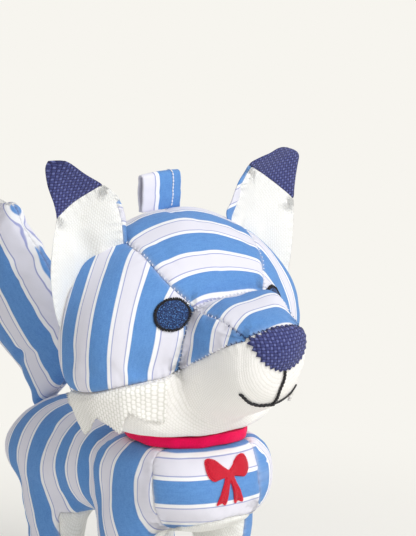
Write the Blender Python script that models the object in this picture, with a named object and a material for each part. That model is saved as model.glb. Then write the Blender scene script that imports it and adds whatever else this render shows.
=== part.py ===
"""Striped soft toy fox that stands on four legs: stuffed forms, sewn panels, ears, tail and loop.

The toy faces -Y and stands on Z = 0. Right and left are the toy's own: its right is at -X.
"""

import math

import bmesh
import bpy
import numpy as np
from mathutils import Vector
from mathutils.bvhtree import BVHTree

# Cloth, thread and the gaps between sewn pieces
CLOTH = 0.0012
SEAM_GAP = 0.0003
PATCH_LIFT = 0.0008
STITCH_RADIUS = 0.0007

# Heights above the floor
NECK_LEVEL = 0.105
SOLE_THICKNESS = 0.0030

# Head, measured from the neck's axis and the neck's level
HEAD_DEPTH = 0.0775
HEAD_BACK = 0.044
HEAD_HALF_WIDTH = 0.071
HEAD_HEIGHT = 0.1115
HEAD_SEAT = 0.0037
MUZZLE_LENGTH = 0.044
MUZZLE_HALF_WIDTH = 0.0295

# Torso
TORSO_LENGTH = 0.159
TORSO_FRONT = 0.040
TORSO_HALF_WIDTH = 0.043
TORSO_HEIGHT = 0.052
TORSO_DROP = 0.048
TORSO_SEAT = -0.0022
NECK_RADIUS = 0.0275
COLLAR_THICKNESS = 0.0018
COLLAR_EDGE = 0.0004
NECK_SEGMENTS = 40

# Legs
LEG_SPREAD = 0.0300
LEG_HALF_THICKNESS = 0.0135
FRONT_LEG_PLACE = 0.308 * TORSO_LENGTH - TORSO_FRONT
HIND_LEG_PLACE = 0.679 * TORSO_LENGTH - TORSO_FRONT
FRONT_LEG_HALF_LENGTH = 0.0215
HIND_LEG_HALF_LENGTH = 0.0220
LEG_ROOT_LEVEL = 0.743 * NECK_LEVEL

# Tail
TAIL_LENGTH = 0.107
TAIL_HALF_WIDTH = 0.0295
TAIL_HALF_THICKNESS = 0.0150
TAIL_ANGLE = math.radians(68)
TAIL_SEAT_SHARE = 0.956

# Ears, each between its inner and its outer edge, from its lowest to its highest point
EAR_WIDTH = 0.047
EAR_HEIGHT = 0.087
EAR_INNER = 0.479 * HEAD_HALF_WIDTH
EAR_FOOT = 0.502 * HEAD_HEIGHT
EAR_CUP = 0.0075
EAR_INNER_BACK = 0.0030
EAR_OUTER_BACK = 0.0125
EAR_SEAM_DEPTH = 0.010
EAR_AXIS_LIFT = 0.0070

# Hanging loop
LOOP_BACK = 0.021
LOOP_TAPE_WIDTH = 0.0245
LOOP_HEIGHT = 0.0190
LOOP_TAPE = 0.0011
LOOP_GAP = 0.0054
LOOP_SEAM_RADIUS = 0.0017
LOOP_ARCH_STEPS = 8
LOOP_FOOT_STEPS = 4

# Small sewn details
EYE_RADIUS = 0.0088
EYE_SPREAD = 0.476 * HEAD_HALF_WIDTH
EYE_RISE = 0.619 * HEAD_HEIGHT
EYE_THICKNESS = 0.0012
EYE_SEGMENTS = 20
EYE_RINGS = 3
NOSE_HALF_WIDTH = 0.542 * MUZZLE_HALF_WIDTH
NOSE_HEIGHT = 0.188 * HEAD_HEIGHT
NOSE_RISE = 0.484 * HEAD_HEIGHT
NOSE_THICKNESS = 0.0014
NOSE_RINGS = 5
MOUTH_RISE = 0.274 * HEAD_HEIGHT
MOUTH_HALF_WIDTH = 0.559 * MUZZLE_HALF_WIDTH
MOUTH_SAG = 0.040 * HEAD_HEIGHT
MOUTH_STEPS = 16
LIP_STEPS = 4
TUFT_DEPTH = 0.0225
TUFT_THICKNESS = 0.0014
TUFT_STAND_OFF = 0.0008
TUFT_FACING = 2.0
MOTIF_RADIUS = 0.0125
MOTIF_DROP = 0.312 * TORSO_DROP
MOTIF_THICKNESS = 0.0010
MOTIF_RINGS = 3
RAY_LENGTH = 0.200

# Half a row of the head: place along it, half width, top, bottom and level of the widest point, then
# the roundness above and below, the crown seam as a share of the half width, the jaw seam's level,
# and how many rings to make up to the next row.
SKULL_SHARES = (
    (0.039, 0.40, 0.765, 0.275, 0.511, 2.0, 2.1, 0.36, 0.300, 1),
    (0.155, 0.72, 0.905, 0.090, 0.493, 2.0, 2.2, 0.42, 0.265, 2),
    (0.348, 0.945, 0.995, 0.022, 0.475, 1.9, 2.3, 0.48, 0.247, 2),
    (0.542, 1.000, 0.982, 0.000, 0.466, 1.8, 2.3, 0.50, 0.251, 2),
    (0.697, 0.972, 0.933, 0.000, 0.457, 1.9, 2.3, 0.51, 0.272, 2),
    (0.826, 0.859, 0.855, 0.006, 0.448, 2.0, 2.2, 0.55, 0.300, 1),
    (0.916, 0.690, 0.775, 0.034, 0.439, 2.2, 2.2, 0.60, 0.318, 1),
    (0.968, 0.530, 0.715, 0.063, 0.430, 2.7, 2.2, 0.67, 0.330, 1),
    (1.000, 0.4155, 0.677, 0.085, 0.4215, 3.2, 2.2, 0.76, 0.341, 1),
)
MUZZLE_SHARES = (
    (0.148, 0.932, 0.664, 0.126, 0.4126, 3.3, 2.1, 0.80, 0.385, 1),
    (0.375, 0.864, 0.655, 0.161, 0.4126, 3.3, 2.1, 0.83, 0.440, 1),
    (0.602, 0.780, 0.630, 0.200, 0.4215, 3.0, 2.1, 0.87, 0.490, 1),
    (0.739, 0.690, 0.607, 0.238, 0.4300, 2.8, 2.1, 0.90, 0.508, 1),
    (0.841, 0.585, 0.586, 0.283, 0.4530, 2.6, 2.0, 0.93, 0.512, 1),
    (0.920, 0.425, 0.560, 0.350, 0.4700, 2.3, 2.0, 0.92, 0.499, 1),
    (0.973, 0.240, 0.526, 0.420, 0.4800, 2.0, 2.0, 0.90, 0.489, 1),
)
HEAD_POLE_SHARE = 0.520
NOSE_POLE_SHARE = 0.484
CREASE_ROW = len(SKULL_SHARES) - 1
CORNER_ROW = CREASE_ROW + 5
CROWN_COLUMNS = 3
SIDE_COLUMNS = 5
JAW_COLUMNS = 4

# Half a row of the torso: place along it, half width, top, bottom, widest level, roundness above and
# below, the side panel's lower edge as a share of the height, and rings up to the next row.
TORSO_SHARES = (
    (0.013, 0.36, 0.735, 0.235, 0.48, 2.1, 2.1, 0.26, 1),
    (0.044, 0.63, 0.850, 0.115, 0.47, 2.6, 2.1, 0.19, 1),
    (0.100, 0.82, 0.912, 0.040, 0.46, 3.2, 2.2, 0.15, 1),
    (0.167, 0.90, 0.930, 0.005, 0.46, 3.6, 2.3, 0.13, 1),
    (0.283, 0.94, 0.930, 0.000, 0.46, 3.6, 2.3, 0.12, 2),
    (0.428, 0.96, 0.930, 0.000, 0.46, 3.4, 2.3, 0.12, 1),
    (0.535, 0.98, 0.962, 0.000, 0.46, 2.8, 2.3, 0.12, 2),
    (0.723, 1.00, 1.000, 0.000, 0.46, 2.3, 2.3, 0.12, 1),
    (0.862, 0.90, 0.945, 0.055, 0.47, 2.1, 2.2, 0.16, 1),
    (0.943, 0.63, 0.815, 0.190, 0.48, 2.0, 2.1, 0.26, 1),
    (0.987, 0.29, 0.670, 0.350, 0.49, 2.0, 2.0, 0.38, 1),
)
TORSO_POLE_SHARE = 0.50
CHEST_ROW = 3
BIB_ROW = 1
FLANK_COLUMNS = 7
BELLY_COLUMNS = 3

# Rows of the tail: place along it, half width, half thickness, and how far its middle leans forward
TAIL_SHARES = (
    (-0.052, 0.13, 0.26, 0.00),
    (-0.020, 0.25, 0.42, 0.08),
    (0.025, 0.38, 0.46, 0.26),
    (0.090, 0.52, 0.54, 0.40),
    (0.190, 0.66, 0.68, 0.46),
    (0.300, 0.83, 0.84, 0.36),
    (0.420, 1.025, 0.96, 0.175),
    (0.540, 1.065, 1.00, 0.085),
    (0.670, 0.915, 0.92, 0.035),
    (0.790, 0.708, 0.74, 0.002),
    (0.890, 0.505, 0.52, 0.105),
    (0.940, 0.285, 0.33, 0.085),
)
TAIL_TIP_ROW = 12
TAIL_ROOT_POLE_SHARE = -0.065
TAIL_COLUMNS = 12

# Rows of an ear: place of its inner edge across and up, of its outer edge across and up, and its cup
EAR_SHARES = (
    (0.032, 0.489, 0.766, 0.000, 0.95),
    (0.000, 0.563, 0.862, 0.115, 1.00),
    (0.011, 0.644, 0.936, 0.322, 0.90),
    (0.106, 0.759, 0.960, 0.506, 0.75),
    (0.319, 0.868, 0.925, 0.655, 0.50),
    (0.447, 0.915, 0.975, 0.782, 0.35),
    (0.617, 0.965, 1.000, 0.897, 0.20),
    (0.745, 0.996, 0.926, 0.977, 0.10),
)
EAR_TIP_ROW = 4
EAR_COLUMNS = 6

# Rows of a leg: height share between sole and root, length, thickness and forward shift
LEG_SHARES = (
    (0.00, 0.62, 0.74, 0.16),
    (0.03, 0.70, 0.84, 0.17),
    (0.12, 0.76, 0.92, 0.17),
    (0.28, 0.74, 0.92, 0.08),
    (0.48, 0.78, 0.94, 0.02),
    (0.66, 0.92, 0.98, 0.00),
    (0.84, 1.06, 0.92, 0.00),
    (1.00, 1.00, 0.66, 0.00),
)
LEG_COLUMNS = 12

# Free edge of a cheek tuft: place along its seam and depth of its points
TUFT_SHARES = (
    (0.00, 0.22),
    (0.07, 0.52),
    (0.17, 0.93),
    (0.24, 0.66),
    (0.29, 0.55),
    (0.38, 0.74),
    (0.49, 1.00),
    (0.55, 0.72),
    (0.60, 0.54),
    (0.72, 0.72),
    (0.92, 0.95),
    (0.96, 0.55),
    (1.00, 0.20),
)
TUFT_BACK_SHARE = 0.39
TUFT_FRONT_SHARE = 0.905
TUFT_LEVEL_SHARES = (0.0, 0.3, 0.65, 1.0)
TUFT_INWARD_SHARE = 0.38

# Outline of the nose patch, across and up, as shares of its half width and height
NOSE_SHARES = (
    (0.0, 0.48), (-0.35, 0.46), (-0.7, 0.40), (-1.0, 0.31), (-0.98, 0.16), (-0.78, -0.06),
    (-0.5, -0.27), (-0.22, -0.45), (0.0, -0.52), (0.22, -0.45), (0.5, -0.27), (0.78, -0.06),
    (0.98, 0.16), (1.0, 0.31), (0.7, 0.40), (0.35, 0.46),
)

# Outline of the embroidered bow: two rounded loops and two ends below a knot
MOTIF_SHARES = (
    (0.0, 0.16), (0.22, 0.30), (0.55, 0.60), (0.88, 0.66), (1.0, 0.42), (0.98, 0.08),
    (0.78, -0.14), (0.48, -0.10), (0.22, -0.08), (0.34, -0.42), (0.50, -0.82), (0.62, -1.14),
    (0.40, -1.06), (0.24, -1.16), (0.14, -0.72), (0.0, -0.24), (-0.14, -0.72), (-0.24, -1.16),
    (-0.40, -1.06), (-0.62, -1.14), (-0.50, -0.82), (-0.34, -0.42), (-0.22, -0.08), (-0.48, -0.10),
    (-0.78, -0.14), (-0.98, 0.08), (-1.0, 0.42), (-0.88, 0.66), (-0.55, 0.60), (-0.22, 0.30),
)

BLUE_STRIPE = (0.36, 0.56, 0.81)
PALE_STRIPE = (0.93, 0.93, 0.95)
OFF_WHITE = (0.94, 0.94, 0.92)
NAVY = (0.10, 0.11, 0.26)
RED = (0.78, 0.02, 0.09)
THREAD_BLACK = (0.02, 0.02, 0.03)
STUFFING = (0.90, 0.90, 0.88)


def clear_scene():
    """Remove every object of the starting scene."""
    for item in list(bpy.data.objects):
        bpy.data.objects.remove(item, do_unlink=True)


def cloth_material(name, colour, roughness):
    """A plain matt finish for one sub-part."""
    material = bpy.data.materials.new(name)
    material.use_nodes = True
    shader = material.node_tree.nodes["Principled BSDF"]
    shader.inputs["Base Color"].default_value = (*colour, 1)
    shader.inputs["Roughness"].default_value = roughness
    shader.inputs["Metallic"].default_value = 0
    return material


def add_object(name, points, faces, colour, roughness=0.9, pivot=None):
    """Add one closed, smooth mesh object, with its origin on its pivot when it moves."""
    pivot = Vector(pivot) if pivot is not None else Vector((0, 0, 0))
    mesh = bpy.data.meshes.new(name)
    mesh.from_pydata([Vector(point) - pivot for point in points], [], faces)
    tidy = bmesh.new()
    tidy.from_mesh(mesh)
    bmesh.ops.recalc_face_normals(tidy, faces=tidy.faces)
    tidy.to_mesh(mesh)
    tidy.free()
    mesh.shade_smooth()
    item = bpy.data.objects.new(name, mesh)
    item.location = pivot
    bpy.context.collection.objects.link(item)
    mesh.materials.append(cloth_material(name, colour, roughness))
    return item


def expanded_rows(table):
    """Rows of a table with the extra rings that each row asks for, on a smooth curve through them."""
    rows = np.array(table, dtype=float)
    places = []
    for index, row in enumerate(rows[:-1]):
        count = int(row[-1])
        places.extend(index + step / count for step in range(count))
    places.append(len(rows) - 1)
    return [smooth_row(rows, place) for place in places], places


def smooth_row(rows, place):
    """One row at a fractional place, on a curve through the rows on both sides of it."""
    low = min(int(place), len(rows) - 2)
    part = place - low
    before = rows[max(low - 1, 0)]
    after = rows[min(low + 2, len(rows) - 1)]
    start, end = rows[low], rows[low + 1]
    slope_in, slope_out = (end - before) / 2, (after - start) / 2
    square, cube = part * part, part * part * part
    return (
        (2 * cube - 3 * square + 1) * start
        + (cube - 2 * square + part) * slope_in
        + (3 * square - 2 * cube) * end
        + (cube - square) * slope_out
    )


def bow(share, power):
    """How far a rounded section reaches one way when it has gone a share of the way the other way."""
    return (1 - abs(share) ** power) ** (1 / power)


def section_point(angle, half_width, top, bottom, middle, top_power, bottom_power):
    """Across and up on a rounded section; angle is a quarter turn at the top, minus one below."""
    power = top_power if angle >= 0 else bottom_power
    reach = top - middle if angle >= 0 else middle - bottom
    across = half_width * abs(math.cos(angle)) ** (2 / power)
    up = reach * abs(math.sin(angle)) ** (2 / power)
    return across, middle + math.copysign(up, angle)


def angle_at_width(share, power):
    """Section angle above the middle where the half width is the given share."""
    return math.acos(share ** (power / 2))


def angle_at_level(level, top, bottom, middle, top_power, bottom_power):
    """Section angle at a level between bottom and top."""
    if level >= middle:
        return math.asin(min(1, (level - middle) / (top - middle)) ** (top_power / 2))
    return -math.asin(min(1, (middle - level) / (middle - bottom)) ** (bottom_power / 2))


def spaced(start, end, count):
    """Evenly spaced values from start up to, but without, end."""
    return [start + (end - start) * step / count for step in range(count)]


def full_ring(angles):
    """Section angles of one side, top to bottom, carried round the other side and back to the top."""
    right = [(angle, -1) for angle in angles]
    left = [(angle, 1) for angle in reversed(angles[1:-1])]
    return right + left


def head_row(row, start, length, half_width):
    """One ring of the head in metres, with its column angles."""
    along, width, top, bottom, middle, top_power, bottom_power, crown, jaw, _ = row
    top, bottom, middle = top * HEAD_HEIGHT, bottom * HEAD_HEIGHT, middle * HEAD_HEIGHT
    crown_angle = angle_at_width(crown, top_power)
    jaw_angle = angle_at_level(jaw * HEAD_HEIGHT, top, bottom, middle, top_power, bottom_power)
    angles = (
        spaced(math.pi / 2, crown_angle, CROWN_COLUMNS)
        + spaced(crown_angle, jaw_angle, SIDE_COLUMNS)
        + spaced(jaw_angle, -math.pi / 2, JAW_COLUMNS)
        + [-math.pi / 2]
    )
    forward = start + along * length
    ring = []
    for angle, side in full_ring(angles):
        across, up = section_point(
            angle, width * half_width, top, bottom, middle, top_power, bottom_power
        )
        ring.append((side * across, -forward, NECK_LEVEL + max(up, HEAD_SEAT)))
    return ring


def head_rings():
    """Rings of the head from its back to the nose, with the table place of each ring."""
    skull, skull_places = expanded_rows(SKULL_SHARES)
    muzzle, muzzle_places = expanded_rows(MUZZLE_SHARES)
    rings = [head_row(row, -HEAD_BACK, HEAD_DEPTH, HEAD_HALF_WIDTH) for row in skull]
    face = HEAD_DEPTH - HEAD_BACK
    rings += [head_row(row, face, MUZZLE_LENGTH, MUZZLE_HALF_WIDTH) for row in muzzle]
    places = skull_places + [len(SKULL_SHARES) + place for place in muzzle_places]
    back = (0, HEAD_BACK, NECK_LEVEL + HEAD_POLE_SHARE * HEAD_HEIGHT)
    nose = (0, -(face + MUZZLE_LENGTH), NECK_LEVEL + NOSE_POLE_SHARE * HEAD_HEIGHT)
    return rings, places, back, nose


def torso_row(row):
    """One ring of the torso in metres."""
    along, width, top, bottom, middle, top_power, bottom_power, belly, _ = row
    levels = [share * TORSO_HEIGHT - TORSO_DROP for share in (top, bottom, middle, belly)]
    top, bottom, middle, belly = levels
    belly_angle = angle_at_level(belly, top, bottom, middle, top_power, bottom_power)
    angles = (
        spaced(math.pi / 2, belly_angle, FLANK_COLUMNS)
        + spaced(belly_angle, -math.pi / 2, BELLY_COLUMNS)
        + [-math.pi / 2]
    )
    forward = TORSO_FRONT - along * TORSO_LENGTH
    seat = TORSO_SEAT if forward > -NECK_RADIUS - CLOTH else TORSO_HEIGHT
    ring = []
    for angle, side in full_ring(angles):
        across, up = section_point(
            angle, width * TORSO_HALF_WIDTH, top, bottom, middle, top_power, bottom_power
        )
        ring.append((side * across, -forward, NECK_LEVEL + min(up, seat)))
    return ring


def torso_rings():
    """Rings of the torso from the chest to the rump, with the table place of each ring."""
    rows, places = expanded_rows(TORSO_SHARES)
    level = NECK_LEVEL + TORSO_POLE_SHARE * TORSO_HEIGHT - TORSO_DROP
    chest = (0, -TORSO_FRONT, level)
    rump = (0, TORSO_LENGTH - TORSO_FRONT, level)
    return [torso_row(row) for row in rows], places, chest, rump


def tail_root(tree):
    """Centre of the tail's rounded root, which rests on the rump."""
    back = TAIL_SEAT_SHARE * TORSO_LENGTH - TORSO_FRONT
    above = Vector((0, back, NECK_LEVEL + RAY_LENGTH / 2))
    hit, normal, _, _ = tree.ray_cast(above, Vector((0, 0, -1)), RAY_LENGTH)
    root = hit + normal * (SEAM_GAP - TAIL_ROOT_POLE_SHARE * TAIL_LENGTH)
    return Vector((0, root.y, root.z))


def tail_point(root, along, forward, across):
    """A place on the tail from its distance up the tail, towards the head and across."""
    upward = Vector((0, math.cos(TAIL_ANGLE), math.sin(TAIL_ANGLE)))
    headward = Vector((0, -math.sin(TAIL_ANGLE), math.cos(TAIL_ANGLE)))
    return root + upward * along + headward * forward + Vector((across, 0, 0))


def tail_rings(root):
    """Rings of the tail from its root to its tip, and its two end points."""
    rings = []
    for along, width, thickness, lean in TAIL_SHARES:
        ring = []
        for column in range(TAIL_COLUMNS):
            angle = math.pi / 2 + 2 * math.pi * column / TAIL_COLUMNS
            forward = (width * math.sin(angle) + lean) * TAIL_HALF_WIDTH
            across = thickness * math.cos(angle) * TAIL_HALF_THICKNESS
            ring.append(tuple(tail_point(root, along * TAIL_LENGTH, forward, across)))
        rings.append(ring)
    foot = tuple(tail_point(root, TAIL_ROOT_POLE_SHARE * TAIL_LENGTH, 0, 0))
    return rings, foot, tuple(tail_point(root, TAIL_LENGTH, 0, 0))


class Skin:
    """The outer surface of a stuffed form, as rings of cells between two end points."""

    def __init__(self, rings, first, last):
        columns = len(rings[0])
        form = bmesh.new()
        cell = form.faces.layers.int.new("cell")
        grid = [[form.verts.new(point) for point in ring] for ring in rings]
        ends = form.verts.new(first), form.verts.new(last)
        for column in range(columns):
            after = (column + 1) % columns
            face = form.faces.new((ends[0], grid[0][after], grid[0][column]))
            face[cell] = column
            for row in range(len(rings) - 1):
                near, far = grid[row], grid[row + 1]
                face = form.faces.new((near[column], near[after], far[after], far[column]))
                face[cell] = (row + 1) * columns + column
            face = form.faces.new((ends[1], grid[-1][column], grid[-1][after]))
            face[cell] = len(rings) * columns + column
        bmesh.ops.recalc_face_normals(form, faces=form.faces)
        bmesh.ops.triangulate(form, faces=form.faces, quad_method="SHORT_EDGE")
        form.normal_update()
        self.columns = columns
        self.points = [vert.co.copy() for vert in form.verts]
        self.normals = [vert.normal.copy() for vert in form.verts]
        self.faces = [[vert.index for vert in face.verts] for face in form.faces]
        self.cells = [divmod(face[cell], columns) for face in form.faces]
        form.free()

    def moved(self, distance):
        """The surface's points moved outwards by a distance."""
        return [point + normal * distance for point, normal in zip(self.points, self.normals)]

    def seeker(self):
        """A tree that finds where a line meets the surface."""
        return BVHTree.FromPolygons(self.points, self.faces)

    def panel(self, chosen):
        """Points and faces of one cloth panel: the chosen cells, drawn in along its seams."""
        faces = [face for face, cell in zip(self.faces, self.cells) if chosen(*cell)]
        edges = [(face[i - 1], face[i]) for face in faces for i in range(len(face))]
        rim = [edge for edge in edges if (edge[1], edge[0]) not in set(edges)]
        used = sorted({vertex for face in faces for vertex in face})
        outer = {vertex: self.points[vertex].copy() for vertex in used}
        for vertex in {end for edge in rim for end in edge}:
            outer[vertex] += self.inward(vertex, faces) * SEAM_GAP
        count = len(used)
        place = {vertex: index for index, vertex in enumerate(used)}
        points = [outer[vertex] for vertex in used]
        points += [outer[vertex] - self.normals[vertex] * CLOTH for vertex in used]
        result = [[place[vertex] for vertex in face] for face in faces]
        result += [[place[vertex] + count for vertex in reversed(face)] for face in faces]
        for start, end in rim:
            result.append((place[end], place[start], place[start] + count, place[end] + count))
        return points, result

    def inward(self, vertex, faces):
        """Direction along the surface from a seam's vertex into its panel."""
        total = Vector((0, 0, 0))
        for face in faces:
            if vertex in face:
                middle = sum((self.points[corner] for corner in face), Vector()) / len(face)
                total += (middle - self.points[vertex]).normalized()
        normal = self.normals[vertex]
        total -= normal * total.dot(normal)
        return total.normalized() * math.sqrt(2) / 2 if total.length > 0 else total


def side_of(column, columns):
    """Which side of the toy a column of cells is on."""
    return "right" if column < columns // 2 else "left"


def band_of(column, columns, breaks):
    """Number of the band, counted from the top, that a column of cells is in."""
    step = column if column < columns // 2 else columns - 1 - column
    return sum(step >= edge for edge in breaks)


def build_cutter(name, skin):
    """A guide solid just outside a form, which trims what is sewn to it."""
    item = add_object(name, skin.moved(SEAM_GAP), skin.faces, STUFFING)
    item.hide_render = True
    item.display_type = "WIRE"
    return item


def cut_by(item, cutter):
    """Trim an object to the outside of a guide solid."""
    modifier = item.modifiers.new("trim", "BOOLEAN")
    modifier.operation = "DIFFERENCE"
    modifier.solver = "EXACT"
    modifier.object = cutter


def build_head():
    """Stuffing and panels of the head; returns its skin."""
    rings, places, back, nose = head_rings()
    skin = Skin(rings, back, nose)
    crease = places.index(CREASE_ROW + 1)
    corner = places.index(CORNER_ROW)
    breaks = (CROWN_COLUMNS, CROWN_COLUMNS + SIDE_COLUMNS)

    def part_of(row, column):
        band = band_of(column, skin.columns, breaks)
        if row > corner or band == 2:
            return "jaw_panel"
        if band == 0:
            return "crown_gusset"
        kind = "face_panel_" if row < crease else "muzzle_panel_"
        return kind + side_of(column, skin.columns)

    inside = -(CLOTH + SEAM_GAP)
    add_object("head_stuffing", skin.moved(inside), skin.faces, STUFFING, 1.0)
    colours = {
        "crown_gusset": BLUE_STRIPE,
        "face_panel_right": PALE_STRIPE,
        "face_panel_left": PALE_STRIPE,
        "muzzle_panel_right": BLUE_STRIPE,
        "muzzle_panel_left": BLUE_STRIPE,
        "jaw_panel": OFF_WHITE,
    }
    for name, colour in colours.items():
        points, faces = skin.panel(lambda row, column: part_of(row, column) == name)
        add_object(name, points, faces, colour)
    return skin


def build_torso():
    """Stuffing and panels of the torso; returns its skin."""
    rings, places, chest, rump = torso_rings()
    skin = Skin(rings, chest, rump)
    chest_row = places.index(CHEST_ROW)
    bib_row = places.index(BIB_ROW)

    def part_of(row, column):
        belly = band_of(column, skin.columns, (FLANK_COLUMNS,)) == 1
        if belly and row > bib_row:
            return "belly_gusset"
        if row <= chest_row:
            return "chest_panel"
        return "body_side_" + side_of(column, skin.columns)

    inside = -(CLOTH + SEAM_GAP)
    add_object("torso_stuffing", skin.moved(inside), skin.faces, STUFFING, 1.0)
    colours = {
        "chest_panel": BLUE_STRIPE,
        "body_side_right": PALE_STRIPE,
        "body_side_left": PALE_STRIPE,
        "belly_gusset": OFF_WHITE,
    }
    for name, colour in colours.items():
        points, faces = skin.panel(lambda row, column: part_of(row, column) == name)
        add_object(name, points, faces, colour)
    return skin


def build_tail(tree):
    """Stuffing, side panels and tip of the tail, which swings about its rounded root."""
    pivot = tail_root(tree)
    skin = Skin(*tail_rings(pivot))
    inside = -(CLOTH + SEAM_GAP)
    add_object("tail_stuffing", skin.moved(inside), skin.faces, STUFFING, 1.0, pivot)

    def part_of(row, column):
        if row >= TAIL_TIP_ROW:
            return "tail_tip"
        return "tail_side_" + side_of(column, skin.columns)

    colours = {"tail_side_right": BLUE_STRIPE, "tail_side_left": BLUE_STRIPE, "tail_tip": OFF_WHITE}
    for name, colour in colours.items():
        points, faces = skin.panel(lambda row, column: part_of(row, column) == name)
        add_object(name, points, faces, colour, pivot=pivot)


def revolved_band(name, profile, segments, colour):
    """Add a ring about the neck's axis from a profile of radius and height."""
    points = []
    for step in range(segments):
        angle = 2 * math.pi * step / segments
        points += [(r * math.cos(angle), r * math.sin(angle), z) for r, z in profile]
    size = len(profile)
    faces = []
    for step in range(segments):
        here, there = step * size, (step + 1) % segments * size
        for k in range(size):
            after = (k + 1) % size
            faces.append((here + k, there + k, there + after, here + after))
    add_object(name, points, faces, colour)


def build_neck():
    """Stuffing in the neck and the felt collar round it."""
    low = NECK_LEVEL + TORSO_SEAT + SEAM_GAP
    high = NECK_LEVEL + HEAD_SEAT - SEAM_GAP
    mesh = bpy.data.meshes.new("neck_stuffing")
    form = bmesh.new()
    bmesh.ops.create_cone(
        form,
        cap_ends=True,
        segments=NECK_SEGMENTS,
        radius1=NECK_RADIUS,
        radius2=NECK_RADIUS,
        depth=high - low,
    )
    form.to_mesh(mesh)
    form.free()
    item = bpy.data.objects.new("neck_stuffing", mesh)
    item.location = (0, 0, (low + high) / 2)
    bpy.context.collection.objects.link(item)
    mesh.materials.append(cloth_material("neck_stuffing", STUFFING, 1.0))
    inner = NECK_RADIUS + SEAM_GAP
    outer = inner + COLLAR_THICKNESS
    profile = [
        (inner, low),
        (outer - COLLAR_EDGE, low),
        (outer, low + COLLAR_EDGE),
        (outer, high - COLLAR_EDGE),
        (outer - COLLAR_EDGE, high),
        (inner, high),
    ]
    revolved_band("collar", profile, NECK_SEGMENTS, RED)


def leg_rings(side, place, half_length):
    """Rings of one leg from above its sole to its root in the torso."""
    low = SOLE_THICKNESS + SEAM_GAP
    rings = []
    for height, length, thickness, shift in LEG_SHARES:
        level = low + height * (LEG_ROOT_LEVEL - low)
        ring = []
        for column in range(LEG_COLUMNS):
            angle = 2 * math.pi * column / LEG_COLUMNS
            across = side * (LEG_SPREAD + thickness * LEG_HALF_THICKNESS * math.cos(angle))
            along = place - (length * math.sin(angle) + shift) * half_length
            ring.append((across, along, level))
        rings.append(ring)
    return rings


def build_leg(name, side, place, half_length, cutter):
    """A stuffed leg trimmed by the torso, and the flat sole under it."""
    rings = leg_rings(side, place, half_length)
    points = [point for ring in rings for point in ring]
    faces = [tuple(range(LEG_COLUMNS)), tuple(range(len(points) - LEG_COLUMNS, len(points)))]
    for row in range(len(rings) - 1):
        for column in range(LEG_COLUMNS):
            after = (column + 1) % LEG_COLUMNS
            here, there = row * LEG_COLUMNS, (row + 1) * LEG_COLUMNS
            faces.append((here + column, here + after, there + after, there + column))
    cut_by(add_object(name + "_leg", points, faces, BLUE_STRIPE), cutter)
    sole = [(x, y, level) for level in (0, SOLE_THICKNESS) for x, y, _ in rings[1]]
    faces = [tuple(range(LEG_COLUMNS)), tuple(range(LEG_COLUMNS, 2 * LEG_COLUMNS))]
    for column in range(LEG_COLUMNS):
        after = (column + 1) % LEG_COLUMNS
        faces.append((column, after, after + LEG_COLUMNS, column + LEG_COLUMNS))
    add_object(name + "_sole", sole, faces, OFF_WHITE)


def ear_middle(row, across_share):
    """A place on the middle surface of the right ear, and how deep its cup is there."""
    inner_x, inner_z, outer_x, outer_z, cup = row
    x = EAR_INNER + (inner_x + (outer_x - inner_x) * across_share) * EAR_WIDTH
    z = EAR_FOOT + (inner_z + (outer_z - inner_z) * across_share) * EAR_HEIGHT
    rim = EAR_INNER_BACK + (EAR_OUTER_BACK - EAR_INNER_BACK) * across_share
    belly = math.sin(math.pi * across_share)
    return Vector((-x, rim + cup * EAR_CUP * belly, NECK_LEVEL + z))


def ear_grid():
    """Middle surface of the right ear, from inside the head to its tip."""
    shares = [step / EAR_COLUMNS for step in range(EAR_COLUMNS + 1)]
    grid = [[ear_middle(row, share) for share in shares] for row in EAR_SHARES]
    heart = Vector((0, EAR_OUTER_BACK, NECK_LEVEL + HEAD_HEIGHT / 2))
    buried = []
    for point in grid[0]:
        buried.append(point + (heart - point).normalized() * EAR_SEAM_DEPTH)
    return [buried] + grid


def sheet_between(grid, front, back):
    """Points and faces of a sheet that follows a grid, between two distances behind it."""
    rows, columns = len(grid), len(grid[0])
    points = [point + Vector((0, front, 0)) for line in grid for point in line]
    points += [point + Vector((0, back, 0)) for line in grid for point in line]
    total = rows * columns
    faces = []
    for row in range(rows - 1):
        for column in range(columns - 1):
            a = row * columns + column
            faces.append((a, a + 1, a + columns + 1, a + columns))
            faces.append((total + a, total + a + columns, total + a + columns + 1, total + a + 1))
    rim = [(0, c) for c in range(columns)] + [(r, columns - 1) for r in range(1, rows)]
    rim += [(rows - 1, c) for c in range(columns - 2, -1, -1)] + [(r, 0) for r in range(rows - 2, 0, -1)]
    loop = [r * columns + c for r, c in rim]
    for start, end in zip(loop, loop[1:] + loop[:1]):
        faces.append((end, start, start + total, end + total))
    return points, faces


def mirrored(points, side):
    """Points of the right-hand piece, or of its twin on the left."""
    return points if side == "right" else [Vector((-p[0], p[1], p[2])) for p in points]


def ear_axis():
    """A point on the right ear's fold line, in front of its base, and the line's direction."""
    inner, outer = ear_middle(EAR_SHARES[0], 0), ear_middle(EAR_SHARES[0], 1)
    outward = Vector((-EAR_HEIGHT, 0, EAR_WIDTH)).normalized()
    middle = (inner + outer) / 2 + outward * EAR_AXIS_LIFT - Vector((0, CLOTH, 0))
    return middle, (outer - inner).normalized()


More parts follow.
